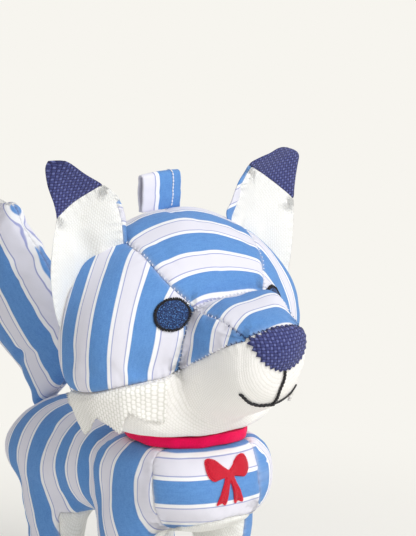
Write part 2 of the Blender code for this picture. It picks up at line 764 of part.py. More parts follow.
def build_ears(cutter):
    """Lining, striped back and canvas tip of both ears, each folding about its base."""
    grid = ear_grid()
    split = EAR_TIP_ROW + 1
    edge = []
    for point, higher in zip(grid[split], grid[split + 1]):
        edge.append(point + (higher - point).normalized() * SEAM_GAP)
    below, above = grid[:split + 1], [edge] + grid[split + 1:]
    half_gap = SEAM_GAP / 2
    layers = (
        ("ear_lining_", below, -half_gap - CLOTH, -half_gap, OFF_WHITE),
        ("ear_back_", below, half_gap, half_gap + CLOTH, BLUE_STRIPE),
        ("ear_tip_", above, -half_gap - CLOTH, half_gap + CLOTH, NAVY),
    )
    pivot, _ = ear_axis()
    for side in ("right", "left"):
        for name, lines, front, back, colour in layers:
            points, faces = sheet_between(lines, front, back)
            place = mirrored([pivot], side)[0]
            item = add_object(name + side, mirrored(points, side), faces, colour, pivot=place)
            if lines is below:
                cut_by(item, cutter)


def surface_point(tree, origin, direction):
    """Where a line meets a form."""
    return tree.ray_cast(origin, direction, RAY_LENGTH)[0]


def outline_patch(name, outline, axes, rings, tree, heart, thickness, colour, cutter):
    """A sewn patch on a form: rings of an outline laid on it, with its back trimmed to the form."""
    centre, across, up = axes
    inward = -across.cross(up)
    if inward.dot(heart - centre) < 0:
        inward.negate()
    start = centre - inward * (RAY_LENGTH / 2)
    flat = [(0, 0)]
    for ring in range(1, rings + 1):
        flat += [(x * ring / rings, z * ring / rings) for x, z in outline]
    low, high = [], []
    for place in flat:
        hit = surface_point(tree, start + across * place[0] + up * place[1], inward)
        lift = (hit - heart).normalized()
        low.append(hit)
        high.append(hit + lift * (SEAM_GAP + thickness))
    size, total = len(outline), len(flat)
    faces = []
    for k in range(size):
        after = (k + 1) % size
        faces.append((0, 1 + k, 1 + after))
        faces.append((total, total + 1 + after, total + 1 + k))
        for ring in range(rings - 1):
            a, b = 1 + ring * size, 1 + (ring + 1) * size
            faces.append((a + k, b + k, b + after, a + after))
            faces.append((total + a + k, total + a + after, total + b + after, total + b + k))
        last = 1 + (rings - 1) * size
        faces.append((last + k, total + last + k, total + last + after, last + after))
    cut_by(add_object(name, low + high, faces, colour), cutter)


def build_eyes(tree, cutter):
    """Embroidered discs on the face panels."""
    heart = Vector((0, 0, NECK_LEVEL + EYE_RISE))
    turns = [2 * math.pi * step / EYE_SEGMENTS for step in range(EYE_SEGMENTS)]
    circle = [(EYE_RADIUS * math.cos(turn), EYE_RADIUS * math.sin(turn)) for turn in turns]
    for side, sign in (("right", -1), ("left", 1)):
        front = Vector((sign * EYE_SPREAD, -RAY_LENGTH / 2, NECK_LEVEL + EYE_RISE))
        centre = surface_point(tree, front, Vector((0, 1, 0)))
        lift = (centre - heart).normalized()
        across = Vector((0, 0, 1)).cross(lift).normalized()
        up = lift.cross(across).normalized()
        axes, name = (centre, across, up), "eye_" + side
        outline_patch(name, circle, axes, EYE_RINGS, tree, heart, EYE_THICKNESS, NAVY, cutter)


def build_nose(tree, cutter):
    """Canvas patch over the muzzle's end."""
    face = HEAD_DEPTH - HEAD_BACK
    heart = Vector((0, -(face + MUZZLE_LENGTH / 2), NECK_LEVEL + NOSE_RISE))
    centre = Vector((0, -(face + MUZZLE_LENGTH), NECK_LEVEL + NOSE_RISE))
    outline = [(x * NOSE_HALF_WIDTH, z * NOSE_HEIGHT) for x, z in NOSE_SHARES]
    axes, name = (centre, Vector((1, 0, 0)), Vector((0, 0, 1))), "nose_patch"
    outline_patch(name, outline, axes, NOSE_RINGS, tree, heart, NOSE_THICKNESS, NAVY, cutter)


def build_motif(tree, cutter):
    """Small embroidered bow on the chest below the collar."""
    heart = Vector((0, 0, NECK_LEVEL - MOTIF_DROP))
    centre = Vector((0, -TORSO_FRONT, NECK_LEVEL - MOTIF_DROP))
    outline = [(x * MOTIF_RADIUS, z * MOTIF_RADIUS) for x, z in MOTIF_SHARES]
    axes, name = (centre, Vector((1, 0, 0)), Vector((0, 0, 1))), "chest_motif"
    outline_patch(name, outline, axes, MOTIF_RINGS, tree, heart, MOTIF_THICKNESS, RED, cutter)


def thread_tube(name, points):
    """A thick stitched line along points, as a closed tube."""
    curve = bpy.data.curves.new(name, "CURVE")
    curve.dimensions = "3D"
    curve.bevel_depth = STITCH_RADIUS
    curve.bevel_resolution = 1
    curve.use_fill_caps = True
    spline = curve.splines.new("POLY")
    spline.points.add(len(points) - 1)
    for point, place in zip(spline.points, points):
        point.co = (*place, 1)
    item = bpy.data.objects.new(name, curve)
    bpy.context.collection.objects.link(item)
    curve.materials.append(cloth_material(name, THREAD_BLACK, 0.7))


def build_mouth(tree):
    """The smile below the nose, and the short stitch that joins it to the nose."""
    face = HEAD_DEPTH - HEAD_BACK
    heart = Vector((0, -(face + MUZZLE_LENGTH / 2), NECK_LEVEL + MOUTH_RISE + MOUTH_SAG))
    lift_by = PATCH_LIFT + STITCH_RADIUS

    def on_jaw(across, rise):
        start = Vector((across, -RAY_LENGTH, NECK_LEVEL + rise))
        hit = surface_point(tree, start, Vector((0, 1, 0)))
        return hit + (hit - heart).normalized() * lift_by

    smile = []
    for step in range(MOUTH_STEPS + 1):
        share = 2 * step / MOUTH_STEPS - 1
        curve = MOUTH_SAG * (1 - math.cos(math.pi * share)) / 2
        smile.append(on_jaw(share * MOUTH_HALF_WIDTH, MOUTH_RISE - MOUTH_SAG / 2 + curve))
    thread_tube("mouth_stitch", smile)
    nose_foot = NOSE_RISE + NOSE_SHARES[8][1] * NOSE_HEIGHT - 2 * NOSE_THICKNESS
    lip_foot = MOUTH_RISE - MOUTH_SAG / 2 + 3 * STITCH_RADIUS + SEAM_GAP
    drop = (lip_foot - nose_foot) / LIP_STEPS
    lip = [on_jaw(0, nose_foot + drop * step) for step in range(LIP_STEPS + 1)]
    thread_tube("lip_stitch", lip)


def jaw_seam_point(forward):
    """Right-hand jaw seam at a distance in front of the neck's axis."""
    rows = np.array(SKULL_SHARES, dtype=float)
    along = (forward + HEAD_BACK) / HEAD_DEPTH
    index = int(np.searchsorted(rows[:, 0], along)) - 1
    part = (along - rows[index][0]) / (rows[index + 1][0] - rows[index][0])
    row = smooth_row(rows, index + part)
    _, width, top, bottom, middle, _, power, _, jaw, _ = row
    across = width * HEAD_HALF_WIDTH * bow((middle - jaw) / (middle - bottom), power)
    return Vector((-across, -forward, NECK_LEVEL + jaw * HEAD_HEIGHT))


def away_from_neck(point):
    """Level direction in which the cheek faces at a point."""
    return Vector((point.x, point.y * TUFT_FACING, 0)).normalized()


def build_tufts(cutter):
    """Pointed flaps that hang from the jaw seams, trimmed to clear the head."""
    back = TUFT_BACK_SHARE * HEAD_DEPTH - HEAD_BACK
    front = TUFT_FRONT_SHARE * HEAD_DEPTH - HEAD_BACK
    grid = []
    for level in TUFT_LEVEL_SHARES:
        line = []
        for place, depth in TUFT_SHARES:
            seam = jaw_seam_point(back + (front - back) * place)
            drop = depth * level * TUFT_DEPTH
            shift = away_from_neck(seam) * (TUFT_STAND_OFF - drop * TUFT_INWARD_SHARE)
            line.append(seam + shift - Vector((0, 0, drop)))
        grid.append(line)
    inner = [point for line in grid for point in line]
    outer = [point + away_from_neck(point) * TUFT_THICKNESS for point in inner]
    faces = sheet_between(grid, 0, TUFT_THICKNESS)[1]
    for side in ("right", "left"):
        name = "cheek_tuft_" + side
        cut_by(add_object(name, mirrored(outer + inner, side), faces, OFF_WHITE), cutter)


def arc(radius, level, start, steps):
    """Back and up places on a half circle round a level on the loop's middle plane."""
    turns = [start + math.pi * step / steps for step in range(steps + 1)]
    return [(radius * math.cos(turn), level + radius * math.sin(turn)) for turn in turns]


def build_loop(tree):
    """Folded tape that stands on the crown, with an open space between its two layers."""
    crown = surface_point(tree, Vector((0, LOOP_BACK, NECK_LEVEL + RAY_LENGTH)), Vector((0, 0, -1)))
    base = crown.z + SEAM_GAP + LOOP_SEAM_RADIUS
    pivot = Vector((0, LOOP_BACK, base))
    bend = LOOP_GAP / 2
    reach = bend + LOOP_TAPE
    top = base + LOOP_HEIGHT - reach
    spread = base + LOOP_SEAM_RADIUS + bend
    arch = arc(bend, top, 0, LOOP_ARCH_STEPS)
    inside = [(0, base + LOOP_SEAM_RADIUS), (bend, spread)] + arch + [(-bend, spread)]
    arch = arc(reach, top, 0, LOOP_ARCH_STEPS)
    foot = arc(LOOP_SEAM_RADIUS, base, math.pi, LOOP_FOOT_STEPS)
    outside = [(reach, spread)] + arch + [(-reach, spread)] + foot
    half = LOOP_TAPE_WIDTH / 2
    form = bmesh.new()
    caps = []
    for x in (-half, half):
        inner = [form.verts.new((x, LOOP_BACK + y, z)) for y, z in inside]
        outer = [form.verts.new((x, LOOP_BACK + y, z)) for y, z in outside]
        caps.append((inner, outer))
    for group in (0, 1):
        near, far = caps[0][group], caps[1][group]
        for k in range(len(near)):
            after = (k + 1) % len(near)
            form.faces.new((near[k], near[after], far[after], far[k]))
    for inner, outer in caps:
        edges = []
        for ring in (inner, outer):
            edges += [form.edges.get(pair) for pair in zip(ring, ring[1:] + ring[:1])]
        bmesh.ops.triangle_fill(form, edges=edges, use_beauty=True)
    bmesh.ops.recalc_face_normals(form, faces=form.faces)
    points = [vert.co.copy() for vert in form.verts]
    form.verts.index_update()
    faces = [[vert.index for vert in face.verts] for face in form.faces]
    form.free()
    add_object("hanging_loop", points, faces, BLUE_STRIPE, pivot=pivot)


def centre_toy():
    """Move the whole toy so that its front and its back lie equally far from the origin."""
    bpy.context.view_layer.update()
    reach = []
    for item in bpy.data.objects:
        if not item.hide_render:
            reach += [(item.matrix_world @ Vector(corner)).y for corner in item.bound_box]
    shift = (min(reach) + max(reach)) / 2
    for item in bpy.data.objects:
        item.location.y -= shift


def build_fox():
    """Build every piece, then centre the toy over the origin from front to back."""
    clear_scene()
    head = build_head()
    torso = build_torso()
    torso_tree = torso.seeker()
    build_neck()
    build_tail(torso_tree)
    head_cutter = build_cutter("head_guide", head)
    torso_cutter = build_cutter("torso_guide", torso)
    for end, place, half_length in (
        ("front", FRONT_LEG_PLACE, FRONT_LEG_HALF_LENGTH),
        ("hind", HIND_LEG_PLACE, HIND_LEG_HALF_LENGTH),
    ):
        for side, sign in (("right", -1), ("left", 1)):
            build_leg(f"{end}_{side}", sign, place, half_length, torso_cutter)
    build_ears(head_cutter)
    head_tree = head.seeker()
    build_eyes(head_tree, head_cutter)
    build_nose(head_tree, head_cutter)
    build_mouth(head_tree)
    build_tufts(head_cutter)
    build_loop(head_tree)
    build_motif(torso_tree, torso_cutter)
    centre_toy()


build_fox()
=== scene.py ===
"""Looks of a striped soft toy fox: stuffed panels, canvas trims, embroidery, collar, loop and studio."""

from __future__ import annotations

import logging
import math
from collections.abc import Callable, Iterable, Sequence
from dataclasses import dataclass, field
from enum import Enum

import bmesh
import bpy
import numpy as np
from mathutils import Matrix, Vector
from mathutils.bvhtree import BVHTree
from mathutils.kdtree import KDTree


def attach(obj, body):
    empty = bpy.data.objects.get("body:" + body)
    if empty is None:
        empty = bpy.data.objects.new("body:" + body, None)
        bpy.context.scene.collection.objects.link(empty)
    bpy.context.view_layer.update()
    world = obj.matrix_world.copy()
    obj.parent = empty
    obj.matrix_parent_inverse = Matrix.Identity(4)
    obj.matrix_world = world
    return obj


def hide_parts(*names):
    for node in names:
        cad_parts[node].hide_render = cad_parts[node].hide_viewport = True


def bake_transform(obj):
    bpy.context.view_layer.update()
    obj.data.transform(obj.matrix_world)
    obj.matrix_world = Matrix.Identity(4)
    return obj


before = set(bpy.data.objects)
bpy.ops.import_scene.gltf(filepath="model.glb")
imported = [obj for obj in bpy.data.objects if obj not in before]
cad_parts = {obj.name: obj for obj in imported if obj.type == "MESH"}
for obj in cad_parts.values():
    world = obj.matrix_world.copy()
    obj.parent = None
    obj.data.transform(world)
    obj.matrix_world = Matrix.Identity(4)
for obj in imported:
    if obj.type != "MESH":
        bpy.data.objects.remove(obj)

LOG = logging.getLogger("fox")
Array = np.ndarray
MM = 0.001

# The neck's axis and level, from which the head and the torso are measured
NECK = np.array((0.0, -0.044539, 0.105))
CLOTH_PERIOD = 0.0200


class Side(Enum):
    """The toy's own right and left, with the sign of X on that side."""

    RIGHT = -1
    LEFT = 1

    @property
    def word(self) -> str:
        """Name of the side in lower case."""
        return self.name.lower()


def srgb(red: int, green: int, blue: int) -> tuple[float, float, float, float]:
    """Turn a colour as seen on a screen into the linear colour of a shader.

    Args:
        red: 0 to 255.
        green: 0 to 255.
        blue: 0 to 255.

    Returns:
        Linear red, green, blue and an alpha of 1.
    """
    def linear(value: float) -> float:
        """One channel, from 0 to 1."""
        return value / 12.92 if value <= 0.04045 else ((value + 0.055) / 1.055) ** 2.4

    return (linear(red / 255), linear(green / 255), linear(blue / 255), 1.0)


class Sock:
    """A shader socket or a plain number, with arithmetic that adds Math nodes."""

    def __init__(self, kit: ShaderKit, value: bpy.types.NodeSocket | float) -> None:
        """Hold one value of a node tree."""
        self.kit = kit
        self.value = value

    def _math(self, operation: str, *others: Sock | float) -> Sock:
        """Add one Math node on this value and others."""
        inputs = {index: item for index, item in enumerate((self, *others))}
        return self.kit.node("ShaderNodeMath", {"operation": operation}, inputs)[0]

    def __add__(self, other: Sock | float) -> Sock:
        """Sum."""
        return self._math("ADD", other)

    __radd__ = __add__

    def __sub__(self, other: Sock | float) -> Sock:
        """Difference."""
        return self._math("SUBTRACT", other)

    def __rsub__(self, other: float) -> Sock:
        """Difference from a number."""
        return Sock(self.kit, other) - self

    def __mul__(self, other: Sock | float) -> Sock:
        """Product."""
        return self._math("MULTIPLY", other)

    __rmul__ = __mul__

    def __truediv__(self, other: Sock | float) -> Sock:
        """Quotient."""
        return self._math("DIVIDE", other)

    def __pow__(self, other: Sock | float) -> Sock:
        """Power."""
        return self._math("POWER", other)

    def sine(self) -> Sock:
        """Sine of the value."""
        return self._math("SINE")

    def fraction(self) -> Sock:
        """What is left above the next whole number below."""
        return self._math("FRACT")

    def floor(self) -> Sock:
        """The next whole number below."""
        return self._math("FLOOR")

    def size(self) -> Sock:
        """Absolute value."""
        return self._math("ABSOLUTE")

    def capped(self, other: Sock | float) -> Sock:
        """The smaller of two values."""
        return self._math("MINIMUM", other)

    def ramp(self, low: float, high: float) -> Sock:
        """0 at low and 1 at high, smooth in between."""
        settings = {"interpolation_type": "SMOOTHSTEP", "clamp": True}
        return self.kit.node("ShaderNodeMapRange", settings, {0: self, 1: low, 2: high})[0]

    def fading(self, length: float) -> Sock:
        """1 at 0, and less and less over the given length."""
        return (self / -length)._math("EXPONENT")


class ShaderKit:
    """Builds one material on a Principled shader."""

    def __init__(self, name: str) -> None:
        """Start a material with its shader."""
        self.material = bpy.data.materials.new(name)
        self.material.use_nodes = True
        self.tree = self.material.node_tree
        self.shader = self.tree.nodes["Principled BSDF"]

    def node(self, kind: str, settings: dict[str, object] | None = None,
             inputs: dict[int | str, object] | None = None) -> list[Sock]:
        """Add one node.

        Args:
            kind: The node's type.
            settings: Attributes that are set before the inputs.
            inputs: Values or links, by socket name or number.

        Returns:
            The node's outputs.
        """
        made = self.tree.nodes.new(kind)
        for key, value in (settings or {}).items():
            setattr(made, key, value)
        for key, value in (inputs or {}).items():
            self.feed(made.inputs[key], value)
        return [Sock(self, output) for output in made.outputs]

    def feed(self, socket: bpy.types.NodeSocket, value: object) -> None:
        """Set a socket to a number or a colour, or link it to another."""
        if isinstance(value, Sock):
            value = value.value
        if isinstance(value, bpy.types.NodeSocket):
            self.tree.links.new(value, socket)
        else:
            socket.default_value = value

    def uv(self, name: str) -> tuple[Sock, Sock, Sock]:
        """Both coordinates of a UV map, and the map itself."""
        both = self.node("ShaderNodeUVMap", {"uv_map": name})[0]
        split = self.node("ShaderNodeSeparateXYZ", inputs={0: both})
        return split[0], split[1], both

    def place(self) -> Sock:
        """Object coordinates."""
        return self.node("ShaderNodeTexCoord")[3]

    def noise(self, vector: Sock, scale: Sequence[float], detail: float = 2.0, rough: float = 0.5) -> Sock:
        """Grey noise from 0 to 1, with its scale along each axis."""
        wide = self.node("ShaderNodeVectorMath", {"operation": "MULTIPLY"}, {0: vector, 1: tuple(scale)})
        inputs = {"Vector": wide[0], "Scale": 1.0, "Detail": detail, "Roughness": rough}
        return self.node("ShaderNodeTexNoise", {"noise_dimensions": "3D"}, inputs)[0]

    def blend(self, factor: Sock | float, first: object, second: object) -> Sock:
        """Mix two colours."""
        outputs = self.node("ShaderNodeMix", {"data_type": "RGBA"},
                            {"Factor": factor, 6: first, 7: second})
        return outputs[2]

    def bump(self, height: Sock, strength: float, distance: float) -> Sock:
        """A normal from a height."""
        return self.node("ShaderNodeBump", {},
                         {"Strength": strength, "Distance": distance, "Height": height})[0]

    def finish(self, colour: object, roughness: object, normal: Sock | None = None,
               sheen: float = 0.0) -> bpy.types.Material:
        """Feed the shader and return the material."""
        self.feed(self.shader.inputs["Base Color"], colour)
        self.feed(self.shader.inputs["Roughness"], roughness)
        self.shader.inputs["Specular IOR Level"].default_value = 0.25
        self.shader.inputs["Sheen Weight"].default_value = sheen
        self.shader.inputs["Sheen Roughness"].default_value = 0.5
        if normal is not None:
            self.feed(self.shader.inputs["Normal"], normal)
        return self.material


@dataclass(frozen=True)
class StripedCotton:
    """Woven shirting: blue bands, and pale bands edged with a thin line on both sides."""

    blue: tuple[float, ...] = srgb(104, 156, 216)
    deep: tuple[float, ...] = srgb(76, 124, 194)
    white: tuple[float, ...] = srgb(248, 248, 250)
    pale: tuple[float, ...] = srgb(232, 231, 242)
    line: tuple[float, ...] = srgb(144, 152, 206)
    band: float = 0.475
    thread: float = 0.00045

    def make(self, name: str) -> bpy.types.Material:
        """Build the material; it reads the maps 'lay' and 'seam'."""
        kit = ShaderKit(name)
        across, along, both = kit.uv("lay")
        seam_run, seam_gap, _ = kit.uv("seam")
        wobble = kit.noise(both, (60, 60, 60), 1.0) - 0.5
        phase = (across / CLOTH_PERIOD + wobble * 0.012).fraction()
        white_part = (phase - self.band) / (1 - self.band)
        edge = 0.012
        is_blue = 1 - (phase - self.band).ramp(-edge, edge) + (phase - 1).ramp(-edge, 0.0)
        inner = white_part.ramp(0.17, 0.19) * (1 - white_part.ramp(0.81, 0.83))
        rim = ((white_part - 0.5).size() - 0.32).size()
        lines = 1 - rim.ramp(0.010, 0.034)
        weave = (across * (2 * math.pi / self.thread)).sine() * (along * (2 * math.pi / self.thread)).sine()
        slub = kit.noise(both, (900, 260, 1))
        fleck = kit.noise(both, (1500, 1500, 1), 2.0, 0.7)
        shade = ((slub - 0.5) * 0.55 + (fleck - 0.5) * 0.9 + 0.35).ramp(0.0, 1.0)
        blue = kit.blend(shade, self.blue, self.deep)
        ground = kit.blend(inner, self.white, self.pale)
        ground = kit.blend(lines * 0.85, ground, self.line)
        worn = seam_gap.fading(0.0009) * 0.28
        colour = kit.blend(is_blue.capped(1.0), ground, blue)
        colour = kit.blend(worn, colour, self.white)
        pucker = (seam_run * (2 * math.pi / 0.0042)).sine() * seam_gap.fading(0.0026)
        crinkle = kit.noise(both, (70, 45, 1), 3.0, 0.55)
        height = weave * 0.00004 + (fleck - 0.5) * 0.00016 + pucker * 0.00035 + (crinkle - 0.5) * 0.0009
        return kit.finish(colour, 0.82, kit.bump(height, 0.75, 1.0), 0.12)


@dataclass(frozen=True)
class Twill:
    """Off-white cotton with a raised broken diagonal; its hollows are painted darker than the raised ribs, as
    painted shade.
    """

    # Colours of the raised ribs and of the hollows; the darker hollows are painted shade
    light: tuple[float, ...] = srgb(245, 245, 242)
    hollow: tuple[float, ...] = srgb(231, 230, 225)
    rib: float = 0.0010
    pick: float = 0.0017
    relief: float = 0.00012

    def make(self, name: str) -> bpy.types.Material:
        """Build the material; it reads the maps 'lay' and 'seam'."""
        kit = ShaderKit(name)
        across, along, both = kit.uv("lay")
        seam_run, seam_gap, _ = kit.uv("seam")
        wobble = kit.noise(both, (300, 300, 1)) - 0.5
        column = across / self.rib + wobble * 0.5
        dash = along / self.pick + column.floor() * 0.37 + column * 0.2 + wobble * 0.4
        fuzz = kit.noise(both, (1500, 1500, 1), 2.0, 0.6)
        raised = (column.fraction() * math.pi).sine() * ((dash.fraction() * math.pi).sine() ** 0.7)
        raised = raised + (fuzz - 0.5) * 0.7
        # Painted shade: the hollows take the darker colour and the raised ribs the lighter one
        colour = kit.blend(raised.ramp(-0.1, 0.7), self.hollow, self.light)
        pucker = (seam_run * (2 * math.pi / 0.0045)).sine() * seam_gap.fading(0.0028)
        crinkle = kit.noise(both, (60, 60, 1))
        height = raised * self.relief + (fuzz - 0.5) * 0.00012 + pucker * 0.0003 + (crinkle - 0.5) * 0.0008
        return kit.finish(colour, 0.9, kit.bump(height, 0.8, 1.0), 0.15)


@dataclass(frozen=True)
class Canvas:
    """Coarse basket weave in thick navy yarn, with painted shade in the gaps between the yarns and painted
    glints on their tops.
    """

    # Yarn colour, a painted glint for the yarn tops, and painted shade for the gaps between the yarns
    yarn: tuple[float, ...] = srgb(66, 72, 128)
    gleam: tuple[float, ...] = srgb(122, 130, 188)
    gap: tuple[float, ...] = srgb(40, 38, 82)
    pick: tuple[float, float] = (0.0018, 0.0015)
    relief: float = 0.00040

    def make(self, name: str) -> bpy.types.Material:
        """Build the material; it reads the map 'lay'."""
        kit = ShaderKit(name)
        across, along, both = kit.uv("lay")
        wobble = kit.noise(both, (260, 260, 1)) - 0.5
        warp = across / self.pick[0] + wobble * 0.5
        weft = along / self.pick[1] + wobble * 0.5
        over = (((warp.floor() + weft.floor()) * 0.5).fraction()) * 2
        hump_a = (warp.fraction() * math.pi).sine() * ((weft.fraction() * math.pi).sine() ** 0.45)
        hump_b = (weft.fraction() * math.pi).sine() * ((warp.fraction() * math.pi).sine() ** 0.45)
        hump = hump_a * over + hump_b * (1 - over)
        strand = kit.noise(both, (2300, 2300, 1), 2.0, 0.6)
        # Painted shade: darker towards the gaps and edges of each yarn
        colour = kit.blend(hump.ramp(0.0, 0.5), self.gap, self.yarn)
        # Painted highlight: glints on the tops of the yarns
        painted_glint_mask = (hump_a * over).ramp(0.40, 0.95) * strand.ramp(0.30, 0.60)
        colour = kit.blend(painted_glint_mask * 0.9, colour, self.gleam)
        height = hump * self.relief + (strand - 0.5) * 0.0002
        return kit.finish(colour, 0.75, kit.bump(height, 0.9, 1.0), 0.1)


@dataclass(frozen=True)
class Felt:
    """Pressed felt with short loose fibres."""

    body: tuple[float, ...] = srgb(254, 4, 94)
    dark: tuple[float, ...] = srgb(232, 2, 78)

    def make(self, name: str) -> bpy.types.Material:
        """Build the material on Object coordinates."""
        kit = ShaderKit(name)
        place = kit.place()
        fibre = kit.noise(place, (1800, 1800, 900), 3.0, 0.65)
        cloud = kit.noise(place, (160, 160, 160))
        colour = kit.blend((fibre * 0.7 + cloud * 0.5).ramp(0.35, 0.85), self.dark, self.body)
        height = fibre * 0.0004 + cloud * 0.0003
        return kit.finish(colour, 0.95, kit.bump(height, 0.6, 1.0), 0.1)


@dataclass(frozen=True)
class Yarn:
    """Sewing or embroidery thread in one colour."""

    body: tuple[float, ...]
    dark: tuple[float, ...]
    roughness: float = 0.55

    def make(self, name: str) -> bpy.types.Material:
        """Build the material on Object coordinates."""
        kit = ShaderKit(name)
        place = kit.place()
        strand = kit.noise(place, (2400, 2400, 2400), 2.0, 0.6)
        colour = kit.blend(strand.ramp(0.3, 0.65), self.dark, self.body)
        return kit.finish(colour, self.roughness, kit.bump(strand, 0.5, 0.0002), 0.1)


@dataclass(frozen=True)
class Embroidery:
    """Filled stitching: short threads in one direction, in two or three colours."""

    light: tuple[float, ...]
    body: tuple[float, ...]
    dark: tuple[float, ...]
    stitch: tuple[float, float] = (1500, 4200)
    balance: tuple[float, float] = (0.42, 0.60)

    def make(self, name: str) -> bpy.types.Material:
        """Build the material; it reads the map 'lay'."""
        kit = ShaderKit(name)
        _, _, both = kit.uv("lay")
        fleck = kit.noise(both, (*self.stitch, 1), 3.0, 0.65)
        cross = kit.noise(both, (self.stitch[1], self.stitch[0], 1), 2.0, 0.6)
        mix = fleck * 0.6 + cross * 0.4
        colour = kit.blend(mix.ramp(*self.balance), self.dark, self.body)
        colour = kit.blend(mix.ramp(self.balance[1] - 0.03, self.balance[1] + 0.07), colour, self.light)
        return kit.finish(colour, 0.5, kit.bump(mix, 0.9, 0.0007), 0.1)


COTTON = StripedCotton()
TWILL = Twill()
CANVAS = Canvas()
# Paler than the twill elsewhere, as painted light, since the head shades the jaw and the flaps
JAW_TWILL_PAINTED_LIGHT = Twill(light=srgb(254, 252, 249), hollow=srgb(240, 238, 233))
# The flaps' twill: paler ribs as painted light, and hollows painted darker as painted shade
TUFT_TWILL_PAINTED_LIGHT_SHADE = Twill(light=srgb(252, 250, 247), hollow=srgb(218, 217, 209), rib=0.0012, pick=0.0025)
NOSE_CANVAS = Canvas(pick=(0.0017, 0.0015))
FELT = Felt()
BLACK_THREAD = Yarn(srgb(46, 44, 48), srgb(14, 14, 18), 0.6)
WHITE_THREAD = Yarn(srgb(250, 250, 252), srgb(214, 218, 232), 0.7)
NAVY_THREAD = Yarn(srgb(40, 48, 96), srgb(16, 20, 46), 0.5)
RED_THREAD = Yarn(srgb(240, 44, 72), srgb(196, 8, 40), 0.5)
EYE_FILL = Embroidery(srgb(96, 152, 214), srgb(36, 70, 128), srgb(12, 20, 50), (1100, 2200), (0.42, 0.56))
MOTIF_FILL = Embroidery(srgb(246, 72, 92), srgb(226, 18, 52), srgb(176, 4, 34), (1200, 5200), (0.34, 0.60))


def chained(pairs: Sequence[tuple[int, int]]) -> list[list[int]]:
    """Put edges in order as chains of points, broken where more than two edges meet.

    Args:
        pairs: Both ends of every edge.

    Returns:
        The chains; a closed one ends where it starts.
    """
    near: dict[int, list[int]] = {}
    for start, end in pairs:
        near.setdefault(start, []).append(end)
        near.setdefault(end, []).append(start)
    left = {tuple(sorted(pair)) for pair in pairs}
    chains = []
    ends = sorted(point for point, others in near.items() if len(others) != 2)
    for first in ends + sorted(near):
        for other in near[first]:
            if tuple(sorted((first, other))) not in left:
                continue
            chain = [first, other]
            left.discard(tuple(sorted((first, other))))
            while len(near[chain[-1]]) == 2:
                after = [point for point in near[chain[-1]] if tuple(sorted((chain[-1], point))) in left]
                if not after:
                    break
                left.discard(tuple(sorted((chain[-1], after[0]))))
                chain.append(after[0])
            chains.append(chain)
    return chains


